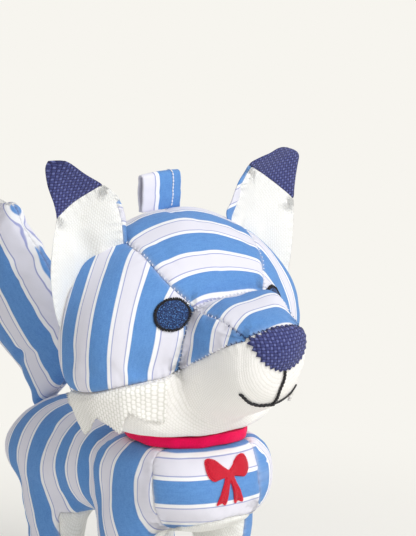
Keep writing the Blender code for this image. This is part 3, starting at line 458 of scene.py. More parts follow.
@dataclass
class Shell:
    """The skin of one stuffed form: points, faces, the panel of each face, and its seam lines.

    The stripes are laid on the points at rest, before the cloth was filled and folded.
    """

    points: Array
    faces: list[tuple[int, ...]]
    panels: list[str]
    seams: list[tuple[str, list[int]]] = field(default_factory=list)
    nearest: Array | None = None
    rest: Array | None = None

    def find_seams(self) -> None:
        """Follow the edges between two panels and keep them as named chains of points."""
        owner: dict[tuple[int, int], str] = {}
        for face, panel in zip(self.faces, self.panels):
            for index in range(len(face)):
                owner[face[index - 1], face[index]] = panel
        groups: dict[str, list[tuple[int, int]]] = {}
        for (start, end), panel in owner.items():
            other = owner.get((end, start))
            if other is not None and other != panel and start < end:
                groups.setdefault("|".join(sorted((panel, other))), []).append((start, end))
        self.seams = [(name, chain) for name in sorted(groups) for chain in chained(groups[name])]

    def face_outwards(self) -> None:
        """Turn all faces so that they point away from the middle."""
        middle = self.points.mean(axis=0)
        if ((self.points - middle) * self.normals()).sum() < 0:
            self.faces = [tuple(reversed(face)) for face in self.faces]

    def seam_points(self) -> set[int]:
        """All points that lie on a seam."""
        return {index for _, chain in self.seams for index in chain}

    def normals(self) -> Array:
        """Outward direction at every point."""
        total = np.zeros_like(self.points)
        for size in sorted({len(face) for face in self.faces}):
            index = np.array([face for face in self.faces if len(face) == size])
            corners = self.points[index]
            arms = corners - corners.mean(axis=1, keepdims=True)
            normal = np.cross(arms, np.roll(arms, -1, axis=1)).sum(axis=1)
            for step in range(size):
                np.add.at(total, index[:, step], normal)
        length = np.linalg.norm(total, axis=1, keepdims=True)
        return total / np.maximum(length, 1e-12)

    def seam_table(self) -> tuple[Array, Array]:
        """Points along all seams and the run length at each.

        Returns:
            The points and their run lengths.
        """
        places, runs, start = [], [], 0.0
        for _, chain in self.seams:
            line = self.points[chain]
            run = start + run_along(line)
            for index in range(len(chain) - 1):
                for share in (0.0, 0.25, 0.5, 0.75):
                    places.append(line[index] + (line[index + 1] - line[index]) * share)
                    runs.append(run[index] + (run[index + 1] - run[index]) * share)
            places.append(line[-1])
            runs.append(run[-1])
            start = run[-1] + 0.05
        return np.array(places), np.array(runs)

    def seam_map(self) -> Array:
        """Run length along the nearest seam and distance to it, for every point; no seam near its ends."""
        if self.nearest is not None:
            return self.nearest
        places, runs = self.seam_table()
        tree = KDTree(len(places))
        for index, place in enumerate(places):
            tree.insert(place, index)
        tree.balance()
        ends = KDTree(2 * len(self.seams))
        for index, (_, chain) in enumerate(self.seams):
            ends.insert(self.points[chain[0]], 2 * index)
            ends.insert(self.points[chain[-1]], 2 * index + 1)
        ends.balance()
        found = np.zeros((len(self.points), 2))
        for index, point in enumerate(self.points):
            _, nearest, gap = tree.find(point)
            found[index] = runs[nearest], gap + max(0.004 - ends.find(point)[2], 0)
        self.nearest = found
        return found

    def puffed(self, pins: Iterable[int], pressure: float, growth: float, cap: float | Array,
               sinks: bool = True) -> None:
        """Blow the cloth out between its pinned seams, by simulation.

        Args:
            pins: Points that stay where they are.
            pressure: Air pressure inside.
            growth: How much larger the cloth is than the form.
            cap: How far any point may move, or one value for each point.
            sinks: Whether the cloth may also move inwards.
        """
        held = sorted(set(pins))
        reach = np.broadcast_to(cap, (len(self.points),))[:, None]
        mesh = bpy.data.meshes.new("cloth")
        mesh.from_pydata(self.points.tolist(), [], self.faces)
        item = linked("cloth", mesh)
        group = item.vertex_groups.new(name="pin")
        group.add(held, 1.0, "REPLACE")
        cloth = item.modifiers.new("cloth", "CLOTH")
        settings = {
            "quality": 6, "mass": 0.2, "air_damping": 3, "tension_stiffness": 20,
            "compression_stiffness": 12, "shear_stiffness": 8, "bending_stiffness": 0.25,
            "use_pressure": True, "uniform_pressure_force": pressure, "shrink_min": -growth,
            "vertex_group_mass": "pin", "pin_stiffness": 1,
        }
        for key, value in settings.items():
            setattr(cloth.settings, key, value)
        cloth.settings.effector_weights.gravity = 0
        cloth.point_cache.frame_start = 1
        cloth.point_cache.frame_end = 20
        scene = bpy.context.scene
        for step in range(1, 21):
            scene.frame_set(step)
        graph = bpy.context.evaluated_depsgraph_get()
        result = item.evaluated_get(graph).to_mesh()
        moved = np.array([vert.co[:] for vert in result.vertices])
        item.evaluated_get(graph).to_mesh_clear()
        bpy.data.objects.remove(item, do_unlink=True)
        bpy.data.meshes.remove(mesh)
        scene.frame_set(1)
        shift = moved - self.points
        length = np.linalg.norm(shift, axis=1, keepdims=True)
        shift *= np.minimum(1.0, reach / np.maximum(length, 1e-9))
        if not sinks:
            normals = self.normals()
            shift -= normals * np.minimum((shift * normals).sum(axis=1, keepdims=True), 0)
        self.points = self.points + shift
        self.nearest = None

    def seam_line(self, name: str) -> Array:
        """Points of the longest seam of a name."""
        chains = [chain for known, chain in self.seams if known == name]
        return self.points[max(chains, key=len)]

    def dented(self, line: Sequence[Sequence[float]], depth: float, width: float,
               taper: float = 0.3, lip: float = 0.28) -> None:
        """Press a fold into the skin along a line of points.

        Args:
            line: Points that the fold follows, close to the skin.
            depth: How deep it goes, or a negative rise.
            width: Half its width.
            taper: Share of the line over which it fades at both ends.
            lip: Share of the depth by which the cloth rises beside it.
        """
        knots = np.array(line, dtype=float)
        total = len(knots) - 1
        shares = np.arange(12 * total) / (12 * total)
        fine = np.stack([np.interp(shares * total, range(total + 1), knots[:, axis]) for axis in range(3)],
                        axis=1)
        normals = self.normals()
        low, high = fine.min(axis=0) - width * 3.2, fine.max(axis=0) + width * 3.2
        near = np.all((self.points > low) & (self.points < high), axis=1)
        for index in np.nonzero(near)[0]:
            point = self.points[index]
            gaps = np.linalg.norm(fine - point, axis=1)
            nearest = int(np.argmin(gaps))
            gap = gaps[nearest]
            if gap > width * 3.2:
                continue
            ends = min(1.0, shares[nearest] / taper, (1 - shares[nearest]) / taper)
            ratio = gap / width
            press = math.exp(-ratio * ratio) - lip * math.exp(-((ratio - 1.7) ** 2) * 2.5)
            self.points[index] = point - normals[index] * (depth * max(ends, 0.0) ** 0.6 * press)

    def rumpled(self, size: float, height: float, seed: float, keep: Iterable[int] = ()) -> None:
        """Add soft uneven waves over the whole skin.

        Args:
            size: Length of a wave.
            height: Their height.
            seed: A number that changes their places.
            keep: Points that stay.
        """
        normals = self.normals()
        waves = np.zeros(len(self.points))
        for step in range(5):
            turn = unit(np.array((math.sin(seed + step * 2.4), math.cos(seed * 1.7 + step * 1.9),
                                  math.sin(seed * 0.6 + step * 3.1))))
            other = np.cross(turn, (0.3, 0.5, 0.8))
            bend = np.sin(self.points @ other / size * 3.1 + seed) * 1.3
            waves += np.sin(self.points @ turn / size * 2 * math.pi * (1 + 0.22 * step) + bend + step * seed)
        waves *= height / 3
        held = np.ones(len(self.points))
        held[list(keep)] = 0
        self.points = self.points + normals * (waves * held)[:, None]
        self.nearest = None


def polished(mesh: bpy.types.Mesh) -> bpy.types.Mesh:
    """Make every face smooth."""
    mesh.polygons.foreach_set("use_smooth", [True] * len(mesh.polygons))
    mesh.update()
    return mesh


def closed_mesh(name: str, points: Iterable[Sequence[float]], faces: list[tuple[int, ...]]) -> bpy.types.Mesh:
    """A mesh of a closed form, with its faces turned outwards.

    Args:
        name: Name of the mesh.
        points: Its points.
        faces: Its faces, in any direction.

    Returns:
        The mesh.
    """
    mesh = bpy.data.meshes.new(name)
    mesh.from_pydata([tuple(point) for point in points], [], faces)
    form = bmesh.new()
    form.from_mesh(mesh)
    bmesh.ops.recalc_face_normals(form, faces=form.faces)
    form.to_mesh(mesh)
    form.free()
    return mesh


def sheet_faces(rows: int, columns: int) -> list[tuple[int, ...]]:
    """Faces of a closed thin sheet: a grid of points, the same grid behind it, and the rim.

    Args:
        rows: Rows of points in the grid.
        columns: Points in each row.

    Returns:
        The faces.
    """
    count, faces = rows * columns, []
    for row in range(rows - 1):
        for corner in range(row * columns, row * columns + columns - 1):
            face = (corner, corner + 1, corner + columns + 1, corner + columns)
            faces += [face, tuple(count + index for index in reversed(face))]
    rim = list(range(columns)) + [row * columns + columns - 1 for row in range(1, rows)]
    rim += list(range(count - 2, count - columns - 1, -1)) + [row * columns for row in range(rows - 2, 0, -1)]
    faces += [(second, first, first + count, second + count) for first, second in zip(rim, rim[1:] + rim[:1])]
    return faces


def sheet_mesh(name: str, points: list[Array], faces: list[tuple[int, ...]],
               flat: list[tuple[float, float]]) -> bpy.types.Mesh:
    """A closed mesh of thin cloth.

    Args:
        name: Name of the mesh.
        points: Its points.
        faces: Its faces, in any direction.
        flat: Where each point lies on the flat cloth.

    Returns:
        The mesh, smooth and with no seam near.
    """
    mesh = closed_mesh(name, points, faces)
    paint_map(mesh, "lay", np.array(flat))
    paint_map(mesh, "seam", np.ones((len(points), 2)))
    return polished(mesh)


def linked(name: str, mesh: bpy.types.Mesh, material: bpy.types.Material | None = None) -> bpy.types.Object:
    """Put a mesh into the scene as an object at the origin."""
    item = bpy.data.objects.new(name, mesh)
    bpy.context.scene.collection.objects.link(item)
    if material is not None:
        mesh.materials.append(material)
    return item


def paint_map(mesh: bpy.types.Mesh, name: str, values: Array) -> None:
    """Store one pair of numbers per point as a UV map."""
    layer = mesh.uv_layers.new(name=name)
    index = np.empty(len(mesh.loops), dtype=np.int64)
    mesh.loops.foreach_get("vertex_index", index)
    layer.data.foreach_set("uv", values[index].astype(np.float32).ravel())


def rounded(item: bpy.types.Object) -> None:
    """Add one level of subdivision surface."""
    modifier = item.modifiers.new("round", "SUBSURF")
    modifier.levels = modifier.render_levels = 1


@dataclass
class Panel:
    """How one cloth panel of a shell is cut, laid and dressed."""

    name: str
    nodes: tuple[str, ...]
    slot: str
    lay: Callable[[Array], Array]
    material: bpy.types.Material
    bend: tuple[Vector, Vector] | None = None


def sew_panel(shell: Shell, panel: Panel, body: str,
              tuck: float = 0.0005, hem: float = 0.0020) -> bpy.types.Object:
    """Cut one panel out of a shell, with its edges tucked into the seams.

    Args:
        shell: The stuffed skin.
        panel: What to cut and how to dress it.
        body: The body that it rides on.
        tuck: How far its edge sinks into the seam.
        hem: How far the cloth goes on inside.

    Returns:
        The new piece.
    """
    faces = [face for face, name in zip(shell.faces, shell.panels) if name == panel.name]
    used = sorted({index for face in faces for index in face})
    number = {index: place for place, index in enumerate(used)}
    edges = [(face[i - 1], face[i]) for face in faces for i in range(len(face))]
    pairs = set(edges)
    rim = [edge for edge in edges if (edge[1], edge[0]) not in pairs]
    normals = shell.normals()
    points = shell.points[used].copy()
    rims = sorted({index for edge in rim for index in edge})
    for index in rims:
        points[number[index]] -= normals[index] * tuck
    place = {index: len(used) + step for step, index in enumerate(rims)}
    inner = np.array([points[number[index]] - normals[index] * hem for index in rims])
    all_faces = [tuple(number[index] for index in face) for face in faces]
    for start, end in rim:
        all_faces.append((number[end], number[start], place[start], place[end]))
    mesh = bpy.data.meshes.new(panel.name + "_cloth")
    everything = np.concatenate((points, inner)) if len(rims) else points
    mesh.from_pydata(everything.tolist(), [], all_faces)
    order = used + rims
    paint_map(mesh, "lay", panel.lay((shell.points if shell.rest is None else shell.rest)[order]))
    paint_map(mesh, "seam", shell.seam_map()[order])
    item = linked(panel.name + "_cloth", polished(mesh), panel.material)
    rounded(item)
    if panel.bend:
        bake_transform(item)
    else:
        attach(item, body)
    if panel.nodes:
        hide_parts(*panel.nodes)
    return item


def sew_all(shell: Shell, panels: Iterable[Panel], body: str, fill: float, *edge: float) -> None:
    """Sew the padded panels of one form.

    Args:
        shell: The stuffed skin.
        panels: Its panels.
        body: The body that they ride on.
        fill: Share of the form that its stuffing fills; not used.
        edge: Tuck and hem, where they differ from the usual.
    """
    for panel in panels:
        piece = sew_panel(shell, panel, body, *edge)
        LOG.info("%s", piece.name)


def smooth_row(rows: Array, place: float, breaks: Sequence[int] = ()) -> Array:
    """One row of a table at a fractional place, on a smooth curve through the rows.

    Args:
        rows: The table.
        place: Row number, with a fraction.
        breaks: Rows at which the curve may have a corner.

    Returns:
        The row.
    """
    low = min(int(place), len(rows) - 2)
    part = place - low
    before = rows[low] if low in breaks else rows[max(low - 1, 0)]
    after = rows[low + 1] if low + 1 in breaks else rows[min(low + 2, len(rows) - 1)]
    start, end = rows[low], rows[low + 1]
    square, cube = part * part, part ** 3
    return (
        (2 * cube - 3 * square + 1) * start
        + (cube - 2 * square + part) * (end - before) / 2
        + (3 * square - 2 * cube) * end
        + (cube - square) * (after - start) / 2
    )


def section(angle: float, row: Sequence[float]) -> tuple[float, float]:
    """Across and up on a rounded section, from half width, top, bottom, middle and two powers."""
    width, top, bottom, middle, above, below = row
    power = above if angle >= 0 else below
    reach = top - middle if angle >= 0 else middle - bottom
    across = width * abs(math.cos(angle)) ** (2 / power)
    return across, middle + math.copysign(reach * abs(math.sin(angle)) ** (2 / power), angle)


def level_angle(level: float, row: Sequence[float]) -> float:
    """Section angle at a level."""
    _, top, bottom, middle, above, below = row
    if level >= middle:
        return math.asin(min(1.0, (level - middle) / (top - middle)) ** (above / 2))
    return -math.asin(min(1.0, (middle - level) / (middle - bottom)) ** (below / 2))


def unit(vectors: Array) -> Array:
    """Directions of one or more vectors."""
    return vectors / np.linalg.norm(vectors, axis=-1, keepdims=True)


def run_along(line: Array) -> Array:
    """Length from a line's start to each of its points."""
    return np.concatenate(([0.0], np.cumsum(np.linalg.norm(np.diff(line, axis=0), axis=1))))


@dataclass(frozen=True)
class Lay:
    """How striped cloth lies on a panel: its run across the stripes as a smooth function of place.

    The terms multiply 1, p, q, pp, pq, qq, ppp, ppq, pqq and qqq, with p and q in units of 10 mm. The
    result counts stripes.
    """

    terms: tuple[float, ...]
    reach: tuple[float, float, float, float] = (-99.0, 99.0, -99.0, 99.0)

    def sum(self, p: Array, q: Array) -> Array:
        """The terms, added up."""
        parts = (p * 0 + 1, p, q, p * p, p * q, q * q, p ** 3, p * p * q, p * q * q, q ** 3)
        return sum(term * part for term, part in zip(self.terms, parts))

    def run(self, p: Array, q: Array) -> Array:
        """Number of stripes at each place; past the reach the stripes go on evenly.

        Args:
            p: First measure of each place, in metres.
            q: Second measure of each place, in metres.

        Returns:
            Counts of stripes, with their fractions.
        """
        p, q = p * 100, q * 100
        near, far = np.clip(p, *self.reach[:2]), np.clip(q, *self.reach[2:])
        slope_p = (self.sum(near + 0.01, far) - self.sum(near - 0.01, far)) / 0.02
        slope_q = (self.sum(near, far + 0.01) - self.sum(near, far - 0.01)) / 0.02
        return self.sum(near, far) + slope_p * (p - near) + slope_q * (q - far)


@dataclass
class Head:
    """The stuffed head with its crown, face, muzzle and jaw panels."""

    depth: float = 0.0775
    back: float = 0.044
    half_width: float = 0.071
    height: float = 0.1115
    seat: float = 0.0037
    muzzle_length: float = 0.044
    muzzle_half_width: float = 0.0295
    step: float = 0.0029
    crown_steps: int = 12
    side_steps: int = 22
    jaw_steps: int = 14
    crease: int = 8
    corner: int = 12
    nose_rows: float = 1.15
    back_pole: float = 0.520
    nose_pole: float = 0.484
    lump_place: tuple[float, float, float] = (0.019, -0.043, 0.068)
    lump_reach: float = 0.0105
    lump_lift: tuple[float, float, float] = (0.0016, 0.0, 0.0045)
    cheek: tuple[tuple[float, float, float], ...] = (
        (0.0400, -0.034, 0.096), (0.0530, -0.032, 0.081), (0.0600, -0.030, 0.062),
        (0.0635, -0.028, 0.044), (0.0620, -0.028, 0.024),
    )
    cheek_depth: float = 0.0070
    cheek_reach: float = 0.0215
    skull: tuple[tuple[float, ...], ...] = (
        (0.039, 0.40, 0.765, 0.275, 0.511, 2.0, 2.1, 0.36, 0.300),
        (0.155, 0.72, 0.905, 0.090, 0.493, 2.0, 2.2, 0.42, 0.265),
        (0.348, 0.945, 0.995, 0.022, 0.475, 1.9, 2.3, 0.48, 0.247),
        (0.542, 1.000, 0.982, 0.000, 0.466, 1.8, 2.3, 0.50, 0.251),
        (0.697, 0.972, 0.933, 0.000, 0.457, 1.9, 2.3, 0.51, 0.272),
        (0.826, 0.859, 0.855, 0.006, 0.448, 2.0, 2.2, 0.55, 0.300),
        (0.916, 0.690, 0.775, 0.034, 0.439, 2.2, 2.2, 0.60, 0.318),
        (0.968, 0.530, 0.715, 0.063, 0.430, 2.7, 2.2, 0.67, 0.330),
        (1.000, 0.4155, 0.677, 0.085, 0.4215, 3.2, 2.2, 0.76, 0.352),
    )
    muzzle: tuple[tuple[float, ...], ...] = (
        (0.148, 0.932, 0.664, 0.126, 0.4126, 3.3, 2.1, 0.79, 0.405),
        (0.375, 0.864, 0.655, 0.161, 0.4126, 3.3, 2.1, 0.81, 0.465),
        (0.602, 0.780, 0.630, 0.200, 0.4215, 3.0, 2.1, 0.84, 0.515),
        (0.739, 0.690, 0.607, 0.238, 0.4300, 2.8, 2.1, 0.87, 0.535),
        (0.841, 0.585, 0.586, 0.283, 0.4530, 2.6, 2.0, 0.89, 0.530),
        (0.920, 0.425, 0.560, 0.350, 0.4700, 2.3, 2.0, 0.90, 0.510),
        (0.973, 0.240, 0.526, 0.420, 0.4800, 2.0, 2.0, 0.90, 0.489),
    )
    face_lay: Lay = Lay((0.91981, 0.42634, -0.02847, 0.03306, 0.00393, -0.02728, 0.01844, -0.00294, 0.0009,
                         0.00355), (-2.2, 4.0, 1.5, 10.5))
    muzzle_lay: Lay = Lay((-1.54405, 0.35365, -0.02767, 0.01595, 0.00297, 0.0, 0.0, 0.0, 0.0, 0.0))
    crown_lay: Lay = Lay((0.35282, 0.44527, -0.12147, 0.02571, -0.00037, -0.01252, 0.01107, 0.00866, 0.00405,
                          0.0002), (-2.4, 3.6, -6.0, 3.4))
    bridge_lay: Lay = Lay((0.61635, 0.71656, 0.08182, -0.02348, -0.00814, -0.01239, 0.0, 0.0, 0.0, 0.0))
    shell: Shell | None = None
    tree: BVHTree | None = None

    def table(self) -> Array:
        """Rows in metres from the neck's axis and level: forward, the section, and two seams."""
        rows = []
        for shares, start, length, width in (
            (self.skull, -self.back, self.depth, self.half_width),
            (self.muzzle, self.depth - self.back, self.muzzle_length, self.muzzle_half_width),
        ):
            for along, wide, top, bottom, middle, above, below, crown, jaw in shares:
                rows.append((start + along * length, wide * width, top * self.height,
                             bottom * self.height, middle * self.height, above, below, crown,
                             jaw * self.height))
        return np.array(rows)

    def ring(self, table: Array, place: float) -> Array:
        """Points of one ring, from the top down the right side and up the left.

        Args:
            table: The rows of the head.
            place: Row number, with a fraction.

        Returns:
            The points. Near the nose the ring bends forward on the crown, so that its seam is an arch.
        """
        steps = self.crown_steps + self.side_steps + self.jaw_steps
        start, end = self.crease + 1.5, len(table) - 2.0
        bend = 0.0
        if start < place < end:
            rise = (place - start) / (self.corner - start) if place < self.corner else (
                (end - place) / (end - self.corner))
            bend = self.nose_rows * rise * rise * (3 - 2 * rise)
        half = []
        for step in range(steps + 1):
            share = max(0.0, 1 - (step / self.crown_steps) ** 2)
            row = smooth_row(table, min(place + bend * share, len(table) - 1.0), (self.crease,))
            shape = row[1:7]
            crown = math.acos(row[7] ** (shape[4] / 2))
            jaw = level_angle(row[8], shape)
            stops = ((0, math.pi / 2), (self.crown_steps, crown),
                     (self.crown_steps + self.side_steps, jaw), (steps, -math.pi / 2))
            angle = float(np.interp(step, [stop[0] for stop in stops], [stop[1] for stop in stops]))
            across, up = section(angle, shape)
            half.append((-across, -row[0], max(up, self.seat)))
        whole = half + [(-x, y, z) for x, y, z in reversed(half[1:-1])]
        return np.array(whole) + NECK

    def places(self, table: Array) -> list[float]:
        """Fractional rows, close enough together along the surface."""
        found = []
        for index in range(len(table) - 1):
            near, far = self.ring(table, index), self.ring(table, index + 1)
            length = np.linalg.norm(far - near, axis=1).max()
            count = max(1, math.ceil(length / self.step))
            found += [index + share / count for share in range(count)]
        return found + [float(len(table) - 1)]

    def lean(self, ahead: Array, level: Array) -> Array:
        """How far the crease between face and muzzle leans back below the eyes."""
        lower = np.clip((0.060 - level) / 0.022, 0, 1) * np.clip((level - 0.008) / 0.012, 0, 1)
        near = np.exp(-((ahead - self.depth + self.back) / 0.009) ** 2)
        return 0.0042 * lower * lower * (3 - 2 * lower) * near

    def caps(self, ring: Array, pole: Array, count: int) -> list[Array]:
        """Rings that close an end in a rounded cap, from the ring towards the pole."""
        rings = []
        for step in range(1, count):
            turn = math.pi / 2 * step / count
            level = pole + (ring - pole) * math.cos(turn)
            level[:, 1] = ring[:, 1] + (pole[1] - ring[:, 1]) * math.sin(turn)
            rings.append(level)
        return rings

    def build_shell(self) -> Shell:
        """Make the skin, mark its panels and seams, and puff it."""
        table = self.table()
        places = self.places(table)
        rings = [self.ring(table, place) for place in places]
        face = self.depth - self.back
        back = NECK + np.array((0.0, self.back, self.back_pole * self.height))
        nose = NECK + np.array((0.0, -(face + self.muzzle_length), self.nose_pole * self.height))
        first, last = self.caps(rings[0], back, 9), self.caps(rings[-1], nose, 4)
        rows = list(reversed(first)) + rings + last
        shift = len(first)
        crease = shift + min(range(len(places)), key=lambda k: abs(places[k] - self.crease))
        corner = shift + min(range(len(places)), key=lambda k: abs(places[k] - self.corner))
        width = len(rows[0])
        half = width // 2
        points, faces = tube(rows, back, nose)
        crown_at, jaw_at = self.crown_steps, self.crown_steps + self.side_steps

        def name_of(row: int, column: int) -> str:
            """Name of the panel that a cell belongs to."""
            right = column < half
            step = column if right else width - 1 - column
            if row >= corner or step >= jaw_at:
                return "jaw_panel"
            if step < crown_at:
                return "crown_gusset" if row < crease else "bridge_gusset"
            kind = "face_panel_" if row < crease else "muzzle_panel_"
            return kind + ("right" if right else "left")

        panels = [name_of(row, column) for row in range(len(rows) - 1) for column in range(width)]
        for column in range(width):
            panels += [name_of(0, column), "jaw_panel"]
        rest = points.copy()
        points[:, 1] += self.lean(NECK[1] - points[:, 1], points[:, 2] - NECK[2])
        gaps = (points - NECK - np.array(self.lump_place)) / self.lump_reach
        points += np.exp(-(gaps ** 2).sum(axis=1))[:, None] * np.array(self.lump_lift)
        shell = Shell(points, faces, panels, rest=rest)
        shell.face_outwards()
        shell.find_seams()
        flat = np.nonzero(points[:, 2] < NECK[2] + self.seat + 0.0008)[0]
        pins = set(flat.tolist()) | shell.seam_points()
        pins.update(range(corner * width, len(points)))
        pins.discard(len(points) - 2)
        shell.puffed(pins, 4.0, 0.015, 0.0030)
        self.fold(shell)
        self.shell = shell
        self.tree = BVHTree.FromPolygons(shell.points.tolist(), shell.faces)
        return shell

    def fold(self, shell: Shell) -> None:
        """Press in the folds where the muzzle meets the face, and the pull of the crease."""
        shell.dented(shell.seam_line("bridge_gusset|crown_gusset")[::2], 0.0014, 0.0036, 0.1)
        for side in Side:
            line = shell.seam_line(f"face_panel_{side.word}|muzzle_panel_{side.word}")
            line = line if line[0][2] > line[-1][2] else line[::-1]
            below = NECK + np.array(((side.value * 0.0270, -0.026, 0.026),
                                     (side.value * 0.0240, -0.022, 0.016)))
            shell.dented(np.concatenate((line[::3], below)), 0.0017, 0.0036, 0.2)
        shell.dented(NECK + np.array(self.cheek), self.cheek_depth, self.cheek_reach, 0.25, lip=0.0)
        shell.rumpled(0.035, 0.00035, 1.3, shell.seam_points())

    def panels(self) -> list[Panel]:
        """The six panels, each with the lay of its cloth."""
        cotton = COTTON.make("head_cotton")
        # The jaw's twill is painted paler, as painted light against the head's shade
        twill = JAW_TWILL_PAINTED_LIGHT.make("head_twill")

        def local(points: Array) -> tuple[Array, Array, Array]:
            """Across, forward and up from the neck."""
            return points[:, 0] - NECK[0], NECK[1] - points[:, 1], points[:, 2] - NECK[2]

        def striped(lay: Lay, crosswise: bool) -> Callable[[Array], Array]:
            """Stripes that run down a side, or across the head when they are crosswise."""
            def laid(points: Array) -> Array:
                """Run across the stripes and along them."""
                across, forward, up = local(points)
                along = across if crosswise else up
                return np.stack((lay.run(forward, along) * CLOTH_PERIOD, along), axis=1)
            return laid

        def jaw(points: Array) -> Array:
            """Cloth that wraps round under the muzzle."""
            across, forward, up = local(points)
            turn = np.arctan2(across, 0.052 - up)
            return np.stack((forward + 0.010, turn * 0.044), axis=1)

        return [
            Panel("crown_gusset", ("crown_gusset",), "blue_stripe", striped(self.crown_lay, True), cotton),
            Panel("bridge_gusset", (), "blue_stripe", striped(self.bridge_lay, True), cotton),
            *(Panel(kind + side.word, (kind + side.word,), slot, striped(lay, False), cotton)
              for kind, slot, lay in (("face_panel_", "pale_stripe", self.face_lay),
                                      ("muzzle_panel_", "blue_stripe", self.muzzle_lay)) for side in Side),
            Panel("jaw_panel", ("jaw_panel", "head_stuffing"), "off_white", jaw, twill),
        ]

    def make(self) -> None:
        """Build the skin and sew its panels."""
        sew_all(self.build_shell(), self.panels(), "head", 0.85)


@dataclass
class Stitcher:
    """Lays stitches along lines on the cloth, with Geometry Nodes."""

    group: bpy.types.GeometryNodeTree | None = None

    def tree(self) -> bpy.types.GeometryNodeTree:
        """Build the node tree once."""
        if self.group is not None:
            return self.group
        group = bpy.data.node_groups.new("stitches", "GeometryNodeTree")
        face = group.interface
        face.new_socket("Geometry", in_out="OUTPUT", socket_type="NodeSocketGeometry")
        face.new_socket("Geometry", in_out="INPUT", socket_type="NodeSocketGeometry")
        for name in ("Pitch", "Length", "Width", "Height", "Slant", "Jitter"):
            face.new_socket(name, in_out="INPUT", socket_type="NodeSocketFloat")
        face.new_socket("Thread", in_out="INPUT", socket_type="NodeSocketMaterial")

        def add(kind: str, inputs: dict[int | str, object],
                **settings: object) -> bpy.types.bpy_prop_collection:
            """Add one node with its settings and inputs, and return its outputs."""
            made = group.nodes.new(kind)
            for key, value in settings.items():
                setattr(made, key, value)
            for key, value in inputs.items():
                if isinstance(value, bpy.types.NodeSocket):
                    group.links.new(value, made.inputs[key])
                else:
                    made.inputs[key].default_value = value
            return made.outputs

        entry = add("NodeGroupInput", {})
        curve = add("GeometryNodeMeshToCurve", {0: entry["Geometry"]})
        even = add("GeometryNodeResampleCurve", {"Curve": curve[0], "Length": entry["Pitch"]}, mode="LENGTH")
        thread = add("GeometryNodeMeshUVSphere", {"Segments": 8, "Rings": 5, "Radius": 0.5})
        size = add("ShaderNodeCombineXYZ", {0: entry["Length"], 1: entry["Width"], 2: entry["Height"]})
        up = add("GeometryNodeInputNamedAttribute", {"Name": "up"}, data_type="FLOAT_VECTOR")
        along = add("GeometryNodeInputTangent", {})
        first = add("FunctionNodeAlignRotationToVector", {"Vector": along[0]}, axis="X")
        second = add("FunctionNodeAlignRotationToVector", {"Rotation": first[0], "Vector": up["Attribute"]},
                     axis="Z", pivot_axis="X")
        chance = add("FunctionNodeRandomValue", {2: -1.0, 3: 1.0, "Seed": 7}, data_type="FLOAT")
        swing = add("ShaderNodeMath", {0: chance[1], 1: entry["Jitter"], 2: entry["Slant"]},
                    operation="MULTIPLY_ADD")
        turn = add("ShaderNodeCombineXYZ", {2: swing[0]})
        rotate = add("FunctionNodeRotateRotation", {"Rotation": second[0], "Rotate By": turn[0]},
                     rotation_space="LOCAL")
        place = add("GeometryNodeInstanceOnPoints", {"Points": even[0], "Instance": thread["Mesh"],
                                                     "Scale": size[0], "Rotation": rotate[0]})
        real = add("GeometryNodeRealizeInstances", {0: place[0]})
        soft = add("GeometryNodeSetShadeSmooth", {0: real[0]})
        dye = add("GeometryNodeSetMaterial", {"Geometry": soft[0], "Material": entry["Thread"]})
        add("NodeGroupOutput", {0: dye[0]})
        self.group = group
        return group

    def lay(self, name: str, lines: Sequence[tuple[Array, Array]],
            sizes: dict[str, float], thread: bpy.types.Material) -> bpy.types.Object:
        """Stitch along lines.

        Args:
            name: Name of the piece.
            lines: Points of each line, and the direction away from the cloth at each point.
            sizes: Pitch, Length, Width, Height, Slant and Jitter.
            thread: The thread's material.

        Returns:
            The piece, as a plain mesh.
        """
        points, ups, edges = [], [], []
        for line, away in lines:
            start = len(points)
            points += list(line)
            ups += list(away)
            edges += [(start + step, start + step + 1) for step in range(len(line) - 1)]
        path = bpy.data.meshes.new(name + "_path")
        path.from_pydata([tuple(point) for point in points], edges, [])
        layer = path.attributes.new("up", "FLOAT_VECTOR", "POINT")
        layer.data.foreach_set("vector", np.array(ups, dtype=np.float32).ravel())
        guide = linked(name + "_path", path)
        modifier = guide.modifiers.new("stitches", "NODES")
        modifier.node_group = self.tree()
        for item in modifier.node_group.interface.items_tree:
            if item.in_out == "INPUT" and item.name in sizes:
                modifier[item.identifier] = float(sizes[item.name])
            elif item.in_out == "INPUT" and item.name == "Thread":
                modifier[item.identifier] = thread
        graph = bpy.context.evaluated_depsgraph_get()
        mesh = bpy.data.meshes.new_from_object(guide.evaluated_get(graph))
        bpy.data.objects.remove(guide, do_unlink=True)
        mesh.name = name
        return linked(name, mesh)


def cut_along(form: bmesh.types.BMesh, measure: Callable[[Array], Array]) -> None:
    """Add edges where a number that varies over the surface is zero.

    Args:
        form: The surface, which is changed.
        measure: Gives the number at each of many points.
    """
    verts = list(form.verts)
    numbers = measure(np.array([vert.co[:] for vert in verts]))
    value = {vert: float(number) for vert, number in zip(verts, numbers)}
    for edge in form.edges:
        near, far = edge.verts
        if value[near] * value[far] < 0:
            share = value[near] / (value[near] - value[far])
            if share < 0.25:
                near.co = near.co.lerp(far.co, share)
                value[near] = 0.0
            elif share > 0.75:
                far.co = far.co.lerp(near.co, 1 - share)
                value[far] = 0.0
    for edge in list(form.edges):
        near, far = edge.verts
        if value[near] * value[far] < 0:
            share = value[near] / (value[near] - value[far])
            _, made = bmesh.utils.edge_split(edge, near, share)
            value[made] = 0.0
    for face in list(form.faces):
        zeros = [loop.vert for loop in face.loops if value[loop.vert] == 0.0]
        if len(zeros) == 2 and form.edges.get(zeros) is None:
            bmesh.utils.face_split(face, zeros[0], zeros[1])


